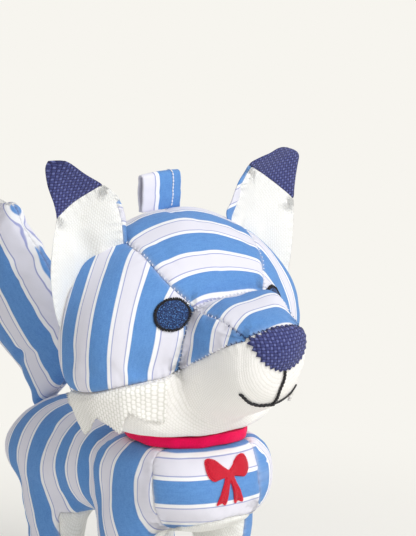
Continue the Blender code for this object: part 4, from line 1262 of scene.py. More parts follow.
def tube(rings: Sequence[Array], first: Array, last: Array) -> tuple[Array, list]:
    """Points and faces of a closed form through rings, with a pole at both ends."""
    size = len(rings[0])
    points = np.concatenate(list(rings) + [first[None], last[None]])
    faces = []
    for row in range(len(rings) - 1):
        for column in range(size):
            after = (column + 1) % size
            faces.append((row * size + column, row * size + after,
                          (row + 1) * size + after, (row + 1) * size + column))
    base = (len(rings) - 1) * size
    for column in range(size):
        after = (column + 1) % size
        faces.append((len(points) - 2, after, column))
        faces.append((len(points) - 1, base + column, base + after))
    return points, faces


@dataclass
class Body:
    """The stuffed torso with its four legs: chest, side and belly panels and four soles."""

    length: float = 0.159
    front: float = 0.040
    half_width: float = 0.043
    height: float = 0.052
    drop: float = 0.048
    seat: float = -0.0022
    neck_radius: float = 0.0287
    leg_spread: float = 0.0300
    leg_half_thickness: float = 0.0135
    sole_top: float = 0.0026
    leg_places: tuple[tuple[float, float], ...] = ((0.00897, 0.0215), (0.06796, 0.0220))
    voxel: float = 0.0030
    torso: tuple[tuple[float, ...], ...] = (
        (0.013, 0.36, 0.735, 0.235, 0.48, 2.1, 2.1),
        (0.044, 0.63, 0.850, 0.115, 0.47, 2.6, 2.1),
        (0.100, 0.82, 0.912, 0.040, 0.46, 3.2, 2.2),
        (0.167, 0.90, 0.930, 0.005, 0.46, 3.6, 2.3),
        (0.283, 0.94, 0.930, 0.000, 0.46, 3.6, 2.3),
        (0.428, 0.96, 0.930, 0.000, 0.46, 3.4, 2.3),
        (0.535, 0.98, 0.962, 0.000, 0.46, 2.8, 2.3),
        (0.723, 1.00, 1.000, 0.000, 0.46, 2.3, 2.3),
        (0.862, 0.90, 0.945, 0.055, 0.47, 2.1, 2.2),
        (0.943, 0.63, 0.815, 0.190, 0.48, 2.0, 2.1),
        (0.987, 0.29, 0.670, 0.350, 0.49, 2.0, 2.0),
    )
    leg: tuple[tuple[float, ...], ...] = (
        (0.0002, 0.60, 0.72, 0.16),
        (0.0012, 0.68, 0.81, 0.165),
        (0.0026, 0.71, 0.85, 0.17),
        (0.0124, 0.76, 0.92, 0.17),
        (0.0244, 0.74, 0.92, 0.08),
        (0.0394, 0.78, 0.94, 0.02),
        (0.0529, 0.92, 0.98, 0.00),
        (0.0665, 1.06, 0.92, 0.00),
        (0.0780, 1.00, 0.66, 0.00),
    )
    side_stripes: tuple[tuple[float, float], ...] = (
        (-114, -2.0), (-94, -1.0), (-74, 0.0), (-62.8, 0.475), (-51.4, 1.0), (-44.7, 1.475), (-34.6, 2.0),
        (-28.6, 2.475), (-23.9, 3.0), (-17.6, 3.475), (-7.2, 4.0), (7.3, 4.475), (19, 5.0), (39, 6.0),
    )
    chest_stripes: tuple[tuple[float, float], ...] = (
        (-105, 4.8), (-55, 2.475), (-40.5, 2.0), (-28, 1.475), (-16, 1.0), (-3.5, 0.475), (8, 0.0),
    )
    shell: Shell | None = None
    tree: BVHTree | None = None

    @staticmethod
    def local(points: Array) -> tuple[Array, Array, Array]:
        """Across, forward of the neck's axis and above the neck's level, in millimetres."""
        return points[:, 0] / MM, (NECK[1] - points[:, 1]) / MM, (points[:, 2] - NECK[2]) / MM

    def torso_ring(self, row: Array) -> Array:
        """One ring of the torso."""
        along, width, top, bottom, middle, above, below = row
        levels = [share * self.height - self.drop for share in (top, bottom, middle)]
        shape = (width * self.half_width, levels[0], levels[1], levels[2], above, below)
        forward = self.front - along * self.length
        seat = self.seat if forward > -self.neck_radius else self.height
        ring = []
        for step in range(56):
            angle = math.pi / 2 - math.pi * step / 28
            sign = -1 if step <= 28 else 1
            turn = angle if step <= 28 else -math.pi - angle
            across, up = section(turn, shape)
            ring.append((sign * across, -forward, min(up, seat)))
        return np.array(ring) + NECK

    def torso_form(self) -> tuple[Array, list]:
        """Closed form of the torso."""
        table = np.array(self.torso)
        places = [index / 4 for index in range((len(table) - 1) * 4 + 1)]
        rings = [self.torso_ring(smooth_row(table, place)) for place in places]
        level = 0.5 * self.height - self.drop
        chest = NECK + np.array((0, -self.front, level))
        rump = NECK + np.array((0, self.length - self.front, level))
        return tube(rings, chest, rump)

    def leg_form(self, side: Side, place: float, half_length: float) -> tuple[Array, list]:
        """Closed form of one leg."""
        table = np.array(self.leg)
        rings = []
        for index in range((len(table) - 1) * 3 + 1):
            level, length, thickness, shift = smooth_row(table, index / 3)
            ring = []
            for step in range(32):
                angle = 2 * math.pi * step / 32
                aside = thickness * self.leg_half_thickness * math.cos(angle)
                across = side.value * (self.leg_spread + aside)
                along = NECK[1] + place - (length * math.sin(angle) + shift) * half_length
                ring.append((across, along, level))
            rings.append(np.array(ring))
        return tube(rings, rings[0].mean(axis=0), rings[-1].mean(axis=0) + np.array((0, 0, 0.004)))

    def joined(self) -> bpy.types.Mesh:
        """Torso and legs as one surface of even squares."""
        points, faces = self.torso_form()
        parts = [(points, faces)]
        for side in Side:
            parts += [self.leg_form(side, place, half) for place, half in self.leg_places]
        everything, all_faces = [], []
        for points, faces in parts:
            start = len(everything)
            everything += points.tolist()
            all_faces += [tuple(index + start for index in face) for face in faces]
        item = linked("body_form", closed_mesh("body_form", everything, all_faces))
        modifier = item.modifiers.new("even", "REMESH")
        modifier.mode = "VOXEL"
        modifier.voxel_size = self.voxel
        graph = bpy.context.evaluated_depsgraph_get()
        result = bpy.data.meshes.new_from_object(item.evaluated_get(graph))
        bpy.data.objects.remove(item, do_unlink=True)
        return result

    def gusset(self, points: Array) -> Array:
        """Positive on the belly and the legs' inner halves."""
        across, forward, up = self.local(points)
        share = np.clip((forward - 5) / 20, 0, 1)
        rise = 9 * share * share * (3 - 2 * share) * np.clip(1 - (across / 31) ** 2, 0, 1)
        inner = np.maximum.reduce((30 - np.abs(across), 13.5 - np.abs(forward + 40.5), forward - 13,
                                   -87 - forward))
        return np.minimum(-47 + rise - up, inner)

    def chest(self, points: Array) -> Array:
        """Positive in front of the seam between chest and sides."""
        across, forward, up = self.local(points)
        right = forward - np.interp(up, (-48, -36, -25, -12, 0), (14, 17.6, 19, 17, 12.5))
        left = np.interp(up, (-48, -35, -23, -18, -6, 0), (24, 19, 16.5, 16, 17, 20)) - across
        return np.minimum(right, left)

    def sole(self, points: Array) -> Array:
        """Positive on the soles."""
        return (self.sole_top - points[:, 2]) / MM

    def panel_name(self, point: Array) -> str:
        """Panel that a place belongs to."""
        place = point[None]
        word = "right" if point[0] < 0 else "left"
        if self.sole(place)[0] > 0:
            end = "front" if self.local(place)[1][0] > -40 else "hind"
            return f"{end}_{word}_sole"
        if self.gusset(place)[0] > 0:
            return "belly_gusset"
        return "chest_panel" if self.chest(place)[0] > 0 else "body_side_" + word

    def build_shell(self) -> Shell:
        """Make the skin, cut it into panels along its seams, and puff it."""
        form = bmesh.new()
        form.from_mesh(self.joined())
        for _ in range(5):
            low = [vert for vert in form.verts if vert.co.z > 0.004]
            bmesh.ops.smooth_vert(form, verts=low, factor=0.5, use_axis_x=True, use_axis_y=True,
                                  use_axis_z=True)
        for measure in (self.gusset, self.chest, self.sole, lambda points: points[:, 0] / MM):
            cut_along(form, measure)
        form.verts.index_update()
        points = np.array([vert.co[:] for vert in form.verts])
        points[:, 2] = np.maximum(points[:, 2], 0.0002)
        faces = [tuple(vert.index for vert in face.verts) for face in form.faces]
        panels = [self.panel_name(np.array(face.calc_center_median()[:])) for face in form.faces]
        form.free()
        shell = Shell(points, faces, panels)
        shell.face_outwards()
        shell.find_seams()
        across, forward, up = self.local(points)
        under_collar = (np.hypot(across, forward) < 32) & (up > -8)
        pins = set(np.nonzero(under_collar | (points[:, 2] < self.sole_top))[0].tolist())
        cap = 0.0030 - 0.0022 * np.clip((forward - 14) / 12, 0, 1)
        shell.puffed(pins | shell.seam_points(), 4.0, 0.012, cap)
        self.fold(shell)
        shell.points[:, 2] = np.maximum(shell.points[:, 2], 0.0002)
        self.shell = shell
        self.tree = BVHTree.FromPolygons(shell.points.tolist(), shell.faces)
        return shell

    def fold(self, shell: Shell) -> None:
        """Press in the pleat behind the shoulder and the pulls under the collar."""
        for sign in (-1, 1):
            line = NECK + np.array(((sign * 0.026, 0.0265, -0.001), (sign * 0.036, 0.0270, -0.008),
                                    (sign * 0.0405, 0.0275, -0.020), (sign * 0.0405, 0.0290, -0.034)))
            shell.dented(line, 0.0030, 0.0042, 0.35)
            line = NECK + np.array(((sign * 0.018, -0.026, -0.004), (sign * 0.026, -0.024, -0.012),
                                    (sign * 0.032, -0.018, -0.024)))
            shell.dented(line, 0.0008, 0.0035, 0.4)
        shell.rumpled(0.045, 0.0005, 2.1, shell.seam_points())

    def panels(self) -> list[Panel]:
        """All panels with the lay of their cloth."""
        cotton, twill = COTTON.make("body_cotton"), TWILL.make("body_twill")

        def side(points: Array) -> Array:
            """Stripes that run from the back down to the feet."""
            across, forward, up = self.local(points)
            wrap = (across > 0) * 0.55 * np.maximum(34 - across, 0)
            forward = forward + wrap * np.clip((forward - 10) / 15, 0, 1)
            drift = 0.35 * np.clip(-33 - up, 0, 30)
            behind = np.clip((-80 - forward) / 40, 0, 1)
            spread = np.where(forward < -80, -80 - 40 * np.arcsin(behind), forward)
            table = np.array(self.side_stripes)
            run = np.interp(spread - drift, table[:, 0], table[:, 1])
            return np.stack((run * CLOTH_PERIOD, up * MM), axis=1)

        def chest(points: Array) -> Array:
            """Stripes that run across the chest."""
            across, _, up = self.local(points)
            table = np.array(self.chest_stripes)
            return np.stack((np.interp(up, table[:, 0], table[:, 1]) * CLOTH_PERIOD, across * MM), axis=1)

        def belly(points: Array) -> Array:
            """Cloth that lies level under the belly and down the legs."""
            across, forward, up = self.local(points)
            return np.stack(((forward + up * 0.3) * MM, (across - up * 0.7) * MM), axis=1)

        result = [
            Panel("chest_panel", ("chest_panel", "torso_stuffing"), "blue_stripe", chest, cotton),
            Panel("belly_gusset", ("belly_gusset",), "off_white", belly, twill),
        ]
        for place in Side:
            word = place.word
            nodes = ("body_side_" + word, f"front_{word}_leg", f"hind_{word}_leg")
            result.append(Panel("body_side_" + word, nodes, "pale_stripe", side, cotton))
            for end in ("front", "hind"):
                name = f"{end}_{word}_sole"
                result.append(Panel(name, (name,), "off_white", belly, twill))
        return result

    def make(self) -> None:
        """Build the skin and sew its panels."""
        sew_all(self.build_shell(), self.panels(), "torso", 0.85)


@dataclass
class Tail:
    """The upright tail: a striped panel on each side and an off-white tip."""

    length: float = 0.107
    half_width: float = 0.0295
    half_thickness: float = 0.0150
    angle: float = math.radians(68)
    root: tuple[float, float, float] = (0.0, 0.072762, 0.102066)
    rows: tuple[tuple[float, ...], ...] = (
        (-0.052, 0.13, 0.26, 0.00),
        (-0.020, 0.295, 0.42, 0.125),
        (0.025, 0.46, 0.46, 0.32),
        (0.090, 0.60, 0.54, 0.40),
        (0.190, 0.77, 0.68, 0.35),
        (0.300, 0.90, 0.84, 0.29),
        (0.420, 1.035, 0.96, 0.165),
        (0.540, 1.065, 1.00, 0.085),
        (0.670, 0.915, 0.92, 0.035),
        (0.790, 0.708, 0.74, 0.002),
        (0.890, 0.505, 0.52, 0.105),
        (0.940, 0.285, 0.33, 0.085),
    )
    tip_row: int = 11
    stripes: Lay = Lay((2.26553, -0.39901, -0.0254, 0.0, 0.0, -0.00951, 0.0, 0.0, 0.0, 0.0),
                       (-3.0, 3.2, 0.0, 10.5))
    columns: int = 48
    step: float = 0.0026

    def point(self, along: float, forward: float, across: float) -> Array:
        """A place from its distance up the tail, towards the head and across."""
        cos, sin = math.cos(self.angle), math.sin(self.angle)
        moved = (across, cos * along - sin * forward, sin * along + cos * forward)
        return np.array(self.root) + np.array(moved)

    def split(self, points: Array) -> tuple[Array, Array]:
        """Distance up the tail and towards the head."""
        cos, sin = math.cos(self.angle), math.sin(self.angle)
        off = points - np.array(self.root)
        return off[:, 1] * cos + off[:, 2] * sin, -off[:, 1] * sin + off[:, 2] * cos

    def build_shell(self) -> Shell:
        """Make the skin and puff it."""
        table = np.array(self.rows)
        rings, places = [], []
        for index in range(len(table) - 1):
            count = max(2, math.ceil((table[index + 1][0] - table[index][0]) * self.length / self.step))
            places += [index + share / count for share in range(count)]
        places.append(len(table) - 1.0)
        for place in places:
            along, width, thickness, lean = smooth_row(table, place)
            ring = []
            for column in range(self.columns):
                turn = math.pi / 2 + 2 * math.pi * column / self.columns
                forward = (width * math.sin(turn) + lean) * self.half_width
                ring.append(self.point(along * self.length, forward,
                                       thickness * math.cos(turn) * self.half_thickness))
            rings.append(np.array(ring))
        foot, top = self.point(-0.065 * self.length, 0, 0), self.point(self.length * 0.992, 0, 0)
        points, faces = tube(rings, foot, top)
        along, _ = self.split(points)
        tip_at = table[self.tip_row][0] * self.length - 0.0002
        panels = []
        for face in faces:
            middle = points[list(face)].mean(axis=0)
            up = along[list(face)].min()
            side = "right" if middle[0] < 0 else "left"
            panels.append("tail_tip" if up > tip_at else "tail_side_" + side)
        shell = Shell(points, faces, panels)
        shell.face_outwards()
        shell.find_seams()
        shell.puffed(shell.seam_points() | set(np.nonzero(along < 0.004)[0].tolist()), 4.0, 0.02, 0.0035)
        for sign in (-1, 1):
            line = [self.point(0.016, -0.008, sign * 0.007), self.point(0.021, 0.000, sign * 0.0090),
                    self.point(0.0255, 0.008, sign * 0.0085)]
            shell.dented(line, 0.0017, 0.0030, 0.3)
            line = [self.point(0.020, 0.002, sign * 0.0075), self.point(0.034, 0.005, sign * 0.0105),
                    self.point(0.050, 0.003, sign * 0.0130)]
            shell.dented(line, 0.0010, 0.0040, 0.4)
        shell.rumpled(0.030, 0.0005, 4.4, shell.seam_points())
        return shell

    def make(self) -> None:
        """Build the skin and sew its panels."""
        cotton, twill = COTTON.make("tail_cotton"), TWILL.make("tail_twill")

        def lay(points: Array) -> Array:
            """Stripes that run up the tail."""
            along, forward = self.split(points)
            return np.stack((self.stripes.run(forward, along) * CLOTH_PERIOD, along), axis=1)

        def tip(points: Array) -> Array:
            """Cloth of the tip."""
            along, forward = self.split(points)
            return np.stack((forward, along + points[:, 0] * 0.5), axis=1)

        sides = [Panel("tail_side_" + side.word, ("tail_side_" + side.word,), "blue_stripe", lay, cotton)
                 for side in Side]
        end = Panel("tail_tip", ("tail_tip", "tail_stuffing"), "off_white", tip, twill)
        sew_all(self.build_shell(), [*sides, end], "tail", 0.8)


# Rows of each ear from its base up: across and up of the inner edge, the same of the outer edge, and
# how deep it is cupped, as shares of the ear's sizes
EAR_ROWS = {
    Side.RIGHT: (
        (0.000, 0.489, 0.752, 0.000, 0.95),
        (0.000, 0.558, 0.853, 0.150, 1.00),
        (0.028, 0.664, 0.905, 0.350, 0.90),
        (0.136, 0.782, 0.872, 0.545, 0.75),
        (0.342, 0.866, 0.826, 0.676, 0.50),
        (0.475, 0.908, 0.870, 0.780, 0.35),
        (0.640, 0.965, 0.930, 0.890, 0.20),
        (0.770, 1.010, 0.958, 0.975, 0.10),
        (0.850, 1.032, 0.915, 1.018, 0.05),
    ),
    Side.LEFT: (
        (-0.100, 0.548, 0.840, 0.000, 0.95),
        (-0.122, 0.594, 0.930, 0.118, 1.00),
        (-0.060, 0.650, 1.000, 0.305, 0.90),
        (0.035, 0.748, 1.017, 0.456, 0.75),
        (0.186, 0.845, 1.020, 0.566, 0.50),
        (0.332, 0.868, 1.045, 0.670, 0.35),
        (0.482, 0.888, 1.073, 0.765, 0.20),
        (0.602, 0.909, 1.083, 0.820, 0.10),
        (0.700, 0.910, 1.028, 0.850, 0.05),
    ),
}


@dataclass
class Ear:
    """A cupped ear: off-white lining in front, striped back and navy canvas tip."""

    side: Side
    width: float = 0.047
    height: float = 0.087
    inner: float = 0.034009
    foot: float = 0.055973
    cup: float = 0.0095
    inner_back: float = 0.0030
    outer_back: float = 0.0125
    half_thickness: float = 0.0016
    sewn_at: tuple[float, float, float] = (0.058921, -0.037989, 0.185572)
    sewn_away: tuple[float, float, float] = (0.739, 0.203, 0.644)
    bend_from: float = 0.001
    bend_to: float = 0.013
    roll: dict[Side, int] = field(default_factory=lambda: {Side.RIGHT: 1, Side.LEFT: 3})
    arch: dict[Side, float] = field(default_factory=lambda: {Side.RIGHT: 0.0, Side.LEFT: 0.0024})
    tip_row: int = 4
    per_row: int = 5
    columns: int = 18

    def middle(self, row: Array, share: float) -> Array:
        """A place on the ear's middle surface."""
        inner_x, inner_z, outer_x, outer_z, cup = row
        across = self.inner + (inner_x + (outer_x - inner_x) * share) * self.width
        up = self.foot + (inner_z + (outer_z - inner_z) * share) * self.height
        rim = self.inner_back + (self.outer_back - self.inner_back) * share
        belly = math.sin(math.pi * share)
        up += self.arch[self.side] * belly * min(1, cup * 2)
        return NECK + np.array((self.side.value * across, rim + cup * self.cup * belly, up))

    def build_shell(self) -> Shell:
        """Make the thin pillow of the ear and puff it."""
        table = np.array(EAR_ROWS[self.side])
        count = (len(table) - 1) * self.per_row
        heart = NECK + np.array((0, self.outer_back, 0.0557))
        lines, widths = [], []
        for index in range(-3, count + 1):
            row = smooth_row(table, max(index, 0) / self.per_row)
            line = [self.middle(row, step / self.columns) for step in range(self.columns + 1)]
            if index < 0:
                line = [place + unit(heart - place) * -index * 0.0035 for place in line]
            lines.append(line)
            widths.append(1 - (max(index, 0) / count) ** 8)
        half = len(lines) * (self.columns + 1)
        sheet = np.array(lines)
        away = np.cross(np.gradient(sheet, axis=1), np.gradient(sheet, axis=0))
        away *= -np.sign(away[..., 1:2]) / np.linalg.norm(away, axis=2, keepdims=True)
        shares = np.abs(np.linspace(-1, 1, self.columns + 1))
        puff = (1 - shares ** 3) * np.array(widths)[:, None] * self.half_thickness
        points = list((sheet + away * puff[..., None]).reshape(-1, 3))
        points += list((sheet - away * puff[..., None]).reshape(-1, 3))
        faces, panels = [], []
        size = self.columns + 1
        split = 3 + self.tip_row * self.per_row
        for layer, name in ((0, "ear_lining_"), (half, "ear_back_")):
            for row in range(len(lines) - 1):
                for step in range(self.columns):
                    corner = layer + row * size + step
                    face = (corner, corner + 1, corner + size + 1, corner + size)
                    faces.append(face if layer == 0 else tuple(reversed(face)))
                    rolled = layer == 0 and step < self.roll[self.side] - (row > split - 7)
                    cloth = "ear_back_" if rolled else name
                    panels.append(("ear_tip_" if row >= split else cloth) + self.side.word)
        for step in range(self.columns):
            faces.append((step + 1, step, half + step, half + step + 1))
            panels.append("ear_lining_" + self.side.word)
        same: dict[tuple[float, ...], int] = {}
        number, kept = [], []
        for point in points:
            key = tuple(round(value, 7) for value in point)
            if key not in same:
                same[key] = len(kept)
                kept.append(point)
            number.append(same[key])
        solid = [(tuple(dict.fromkeys(number[index] for index in face)), panel)
                 for face, panel in zip(faces, panels)]
        solid = [(face, panel) for face, panel in solid if len(face) > 2]
        shell = Shell(np.array(kept), [face for face, _ in solid], [panel for _, panel in solid])
        shell.face_outwards()
        shell.find_seams()
        low = {number[row * size + step + layer] for layer in (0, half) for row in range(5)
               for step in range(size)}
        shell.puffed(shell.seam_points() | low, 2.0, 0.015, 0.0012, sinks=False)
        self.fold(shell)
        return shell

    def fold(self, shell: Shell) -> None:
        """Press in the soft folds that run up from the base."""
        table = np.array(EAR_ROWS[self.side])
        for share, depth, last in ((0.46, 0.0018, 2.6), (0.72, 0.0010, 2.0)):
            line = [self.middle(smooth_row(table, place * last / 4), share) - np.array((0, 0.0030, 0))
                    for place in range(5)]
            shell.dented(line, depth, 0.0042, 0.35)
        shell.rumpled(0.028, 0.0004, 3.0 + self.side.value, shell.seam_points())

    def make(self) -> None:
        """Build the pillow and sew its panels."""
        word = self.side.word
        cotton = COTTON.make("ear_cotton_" + word)
        twill, canvas = TWILL.make("ear_twill_" + word), CANVAS.make("ear_canvas_" + word)

        def back(points: Array) -> Array:
            """Stripes that run across the ear."""
            up = points[:, 2] - NECK[2]
            return np.stack(((up - 0.098) / 0.022 * CLOTH_PERIOD, points[:, 0]), axis=1)

        def front(points: Array) -> Array:
            """Upright cloth."""
            return points[:, (0, 2)].copy()

        shell = self.build_shell()
        root, away = (Vector((self.side.value * x, y, z)) for x, y, z in (self.sewn_at, self.sewn_away))
        bend = (root + away * self.bend_from, root + away * self.bend_to)
        cuts = (("ear_lining_", "off_white", front, twill), ("ear_back_", "blue_stripe", back, cotton),
                ("ear_tip_", "navy", front, canvas))
        panels = [Panel(name + word, (name + word,), slot, lay, material, bend)
                  for name, slot, lay, material in cuts]
        sew_all(shell, panels, "ear_" + word, 0.35, 0.00025, 0.0005)


def smooth_outline(shares: Sequence[tuple[float, float]], scale: tuple[float, float],
                   steps: int) -> Array:
    """A closed line through points and their mirror images, with steps between each two."""
    half = np.array(shares) * np.array(scale)
    knots = np.concatenate((half, half[-2:0:-1] * (-1, 1)))
    size, line = len(knots), []
    for index in range(size):
        table = np.array([knots[(index + step) % size] for step in (-1, 0, 1, 2)])
        line += [smooth_row(table, 1 + step / steps) for step in range(steps)]
    return np.array(line)


def pinked(line: Array, pitch: float, depth: float) -> Array:
    """Saw teeth along a closed line, pointing away from its middle."""
    closed = np.concatenate((line, line[:1]))
    run = run_along(closed)
    count = round(run[-1] / pitch) * 4
    along = np.linspace(0, run[-1], count, endpoint=False)
    even = np.stack([np.interp(along, run, closed[:, axis]) for axis in (0, 1)], axis=1)
    turn = np.roll(even, -1, axis=0) - np.roll(even, 1, axis=0)
    away = unit(np.stack((turn[:, 1], -turn[:, 0]), axis=1))
    if (away * (even - even.mean(axis=0))).sum() < 0:
        away = -away
    tooth = np.array((0.0, 0.5, 1.0, 0.5))[np.arange(count) % 4]
    ragged = 1 + 0.25 * np.sin(np.arange(count) * 1.7)
    return even + away * ((tooth - 0.5) * ragged * depth)[:, None]


@dataclass
class Patch:
    """A flat cut shape laid on a stuffed form, from rings of its outline."""

    name: str
    outline: Array
    centre: Array
    across: Array
    up: Array
    thickness: float
    edge: float = 0.0004
    rings: int = 10
    crown: float = 0.0

    def build(self, tree: BVHTree,
              material: bpy.types.Material) -> tuple[bpy.types.Object, Array, Array]:
        """Lay the patch on a form.

        Args:
            tree: The form's surface.
            material: The patch's finish.

        Returns:
            The piece, and the points and outward directions of its edge.
        """
        inward = unit(np.cross(self.up, self.across))
        start = self.centre - inward * 0.08
        top, low, flat = [], [], []
        total = self.rings + 1
        for ring in range(total):
            share = (ring / self.rings) ** 0.9
            line = self.outline * share if ring else self.outline[:1] * 0
            for x, z in line:
                origin = start + self.across * x + self.up * z
                hit, normal, _, _ = tree.ray_cast(Vector(origin), Vector(inward))
                if hit is None:
                    hit, normal, _, _ = tree.find_nearest(Vector(origin + inward * 0.08))
                away = np.array(normal) if np.dot(normal, inward) < 0 else -np.array(normal)
                away = unit(away * 0.6 - inward * 0.4)
                height = self.edge + (self.thickness - self.edge) * (1 - share ** 6) ** 0.5
                height += self.crown * (1 - share * share)
                top.append(np.array(hit) + away * height)
                low.append(np.array(hit) - away * 0.0004)
                flat.append((x, z))
        size, count = len(self.outline), len(top)
        faces = []
        for step in range(size):
            after = (step + 1) % size
            faces += [(0, 1 + step, 1 + after), (count, count + 1 + after, count + 1 + step)]
            for ring in range(self.rings - 1):
                a, b = 1 + ring * size, 1 + (ring + 1) * size
                faces.append((a + step, b + step, b + after, a + after))
                faces.append((count + a + step, count + a + after, count + b + after, count + b + step))
            a = 1 + (self.rings - 1) * size
            faces.append((a + step, count + a + step, count + a + after, a + after))
        item = linked(self.name, sheet_mesh(self.name, top + low, faces, flat + flat), material)
        rim = np.array(top[-size:])
        return item, rim, unit(rim - np.array(low[-size:]))


def surface_area(item: bpy.types.Object) -> float:
    """Surface of a piece's own mesh."""
    return sum(polygon.area for polygon in item.data.polygons)


@dataclass
class Trims:
    """What is sewn on the head and the neck: nose, eyes, mouth, tufts, loop, collar and bow."""

    head: Head
    body: Body
    stitcher: Stitcher = field(default_factory=Stitcher)
    eye_radius: float = 0.0088
    eye_spread: float = 0.033796
    eye_rise: float = 0.069019
    nose_half_width: float = 0.015989
    nose_height: float = 0.020962
    nose_rise: float = 0.053966
    loop_base: tuple[float, float, float] = (0.0, -0.023539, 0.215946)
    loop_width: float = 0.0245
    loop_height: float = 0.0190
    loop_gap: float = 0.0030
    tape: float = 0.0011
    motif_radius: float = 0.0125
    motif_drop: float = 0.014976
    motif_aside: float = 0.0045
    eye_shift: dict[Side, tuple[float, float]] = field(
        default_factory=lambda: {Side.RIGHT: (0.0, 0.0014), Side.LEFT: (0.0026, 0.0030)})
    smile: tuple[tuple[float, float], ...] = (
        (-0.0176, 0.0322), (-0.0150, 0.0296), (-0.0120, 0.0274), (-0.0090, 0.0262), (-0.0055, 0.0256),
        (0.0, 0.0254), (0.0050, 0.0262), (0.0090, 0.0276), (0.0130, 0.0294), (0.0166, 0.0318),
    )
    nose_shape: tuple[tuple[float, float], ...] = (
        (0.0, 0.53), (-0.35, 0.52), (-0.7, 0.44), (-1.05, 0.31), (-1.03, 0.12), (-0.86, -0.14),
        (-0.62, -0.32), (-0.30, -0.44), (0.0, -0.49),
    )
    bow_shape: tuple[tuple[float, float], ...] = (
        (0.0, 0.16), (0.22, 0.30), (0.55, 0.60), (0.88, 0.66), (1.0, 0.42), (0.98, 0.08),
        (0.78, -0.14), (0.48, -0.10), (0.22, -0.08), (0.34, -0.42), (0.50, -0.82), (0.62, -1.14),
        (0.40, -1.06), (0.24, -1.16), (0.14, -0.72), (0.0, -0.24),
    )
    tuft_shape: tuple[tuple[float, float], ...] = (
        (0.00, 0.34), (0.04, 0.68), (0.085, 0.95), (0.20, 0.84), (0.33, 0.70), (0.49, 0.52), (0.60, 0.78),
        (0.715, 1.06), (0.76, 0.80), (0.80, 0.58), (0.88, 0.82), (0.95, 0.94), (1.00, 0.98),
    )
    tuft_depth: float = 0.0225

    def fit(self, item: bpy.types.Object, body: str, slot: str, *nodes: str) -> bpy.types.Object:
        """Fasten a piece to a body and let it stand for nodes."""
        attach(item, body)
        if nodes:
            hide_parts(*nodes)
        LOG.info("%s", item.name)
        return item

    def nose(self) -> None:
        """Canvas patch with a pinked edge."""
        line = smooth_outline(self.nose_shape, (self.nose_half_width, self.nose_height), 6)
        centre = NECK + np.array((0, -0.0775, self.nose_rise))
        patch = Patch("nose_cloth", pinked(line, 0.0030, 0.0014), centre, np.array((1.0, 0, 0)),
                      np.array((0, 0, 1.0)), 0.0014, 0.0007, 12, 0.0006)
        item, rim, _ = patch.build(self.head.tree, NOSE_CANVAS.make("nose_canvas"))
        area = surface_area(item) / 2
        width = np.ptp(rim, axis=0)[0] + 0.006
        area / width / 0.72
        self.fit(item, "head", "navy", "nose_patch")

    def eyes(self) -> None:
        """Embroidered discs, each with a stitched ring."""
        ring = BLACK_THREAD.make("eye_ring_thread")
        fill = EYE_FILL.make("eye_fill")
        for side in Side:
            lower, aside = self.eye_shift[side]
            front = NECK + np.array((side.value * self.eye_spread - aside, -0.1, self.eye_rise - lower))
            hit, _, _, _ = self.head.tree.ray_cast(Vector(front), Vector((0, 1, 0)))
            centre = np.array(hit)
            away = unit(centre - (NECK + np.array((0, 0, self.eye_rise))))
            across = unit(np.cross((0, 0, 1.0), away))
            up = np.cross(away, across)
            turns = np.linspace(0, 2 * math.pi, 72, endpoint=False)
            radius = self.eye_radius * (0.93 + 0.012 * np.sin(turns * 5 + 1) + 0.008 * np.sin(turns * 11))
            disc = np.stack((radius * np.cos(turns), radius * np.sin(turns) * 0.92), axis=1)
            name = "eye_" + side.word
            patch = Patch(name + "_disc", disc, centre, across, up, 0.0010, 0.0003, 8, 0.0004)
            item, rim, ups = patch.build(self.head.tree, fill)
            self.fit(item, "head", "navy", name)
            middle = rim.mean(axis=0)
            line = middle + (rim - middle) * 0.945 + ups * 0.0004
            closed = np.concatenate((line, line[:1])), np.concatenate((ups, ups[:1]))
            sizes = {"Pitch": 0.00056, "Length": 0.00058, "Width": 0.0024, "Height": 0.0010, "Slant": 0.12,
                     "Jitter": 0.22}
            piece = self.stitcher.lay(f"eye_ring_{side.word}", [closed], sizes, ring)
            self.fit(piece, "head", "black_thread")

    def on_jaw(self, across: float, rise: float) -> tuple[Array, Array]:
        """A place on the muzzle's front, and the direction out of it."""
        start = NECK + np.array((across, -0.2, rise))
        hit, normal, _, _ = self.head.tree.ray_cast(Vector(start), Vector((0, 1, 0)))
        away = np.array(normal)
        return np.array(hit), away if away[1] < 0 else -away

    def mouth(self) -> None:
        """Thick back-stitched smile and the short line up to the nose."""
        thread = BLACK_THREAD.make("mouth_thread")
        knots = np.array(self.smile)
        smile = [self.on_jaw(across, float(np.interp(across, knots[:, 0], knots[:, 1])))
                 for across in np.linspace(knots[0, 0], knots[-1, 0], 45)]
        foot, end = self.nose_rise - 0.49 * self.nose_height, float(np.interp(0, knots[:, 0], knots[:, 1]))
        lip = [self.on_jaw(0.0005 * math.sin(step / 2), foot + (end - foot) * step / 16)
               for step in range(17)]
        for name, line, girth in (("mouth_thread_right", smile[:23], 0.0016),
                                  ("mouth_thread_left", smile[22:], 0.0010), ("lip_thread", lip, 0.0015)):
            places = np.array([place + away * 0.0006 for place, away in line])
            ups = np.array([away for _, away in line])
            sizes = {"Pitch": girth * 1.25, "Length": girth * 2.1, "Width": girth, "Height": girth,
                     "Slant": 0.42, "Jitter": 0.16}
            piece = self.stitcher.lay(name, [(places, ups)], sizes, thread)
            nodes = ("lip_stitch",) if name == "lip_thread" else ("mouth_stitch",) if "right" in name else ()
            self.fit(piece, "head", "black_thread", *nodes)

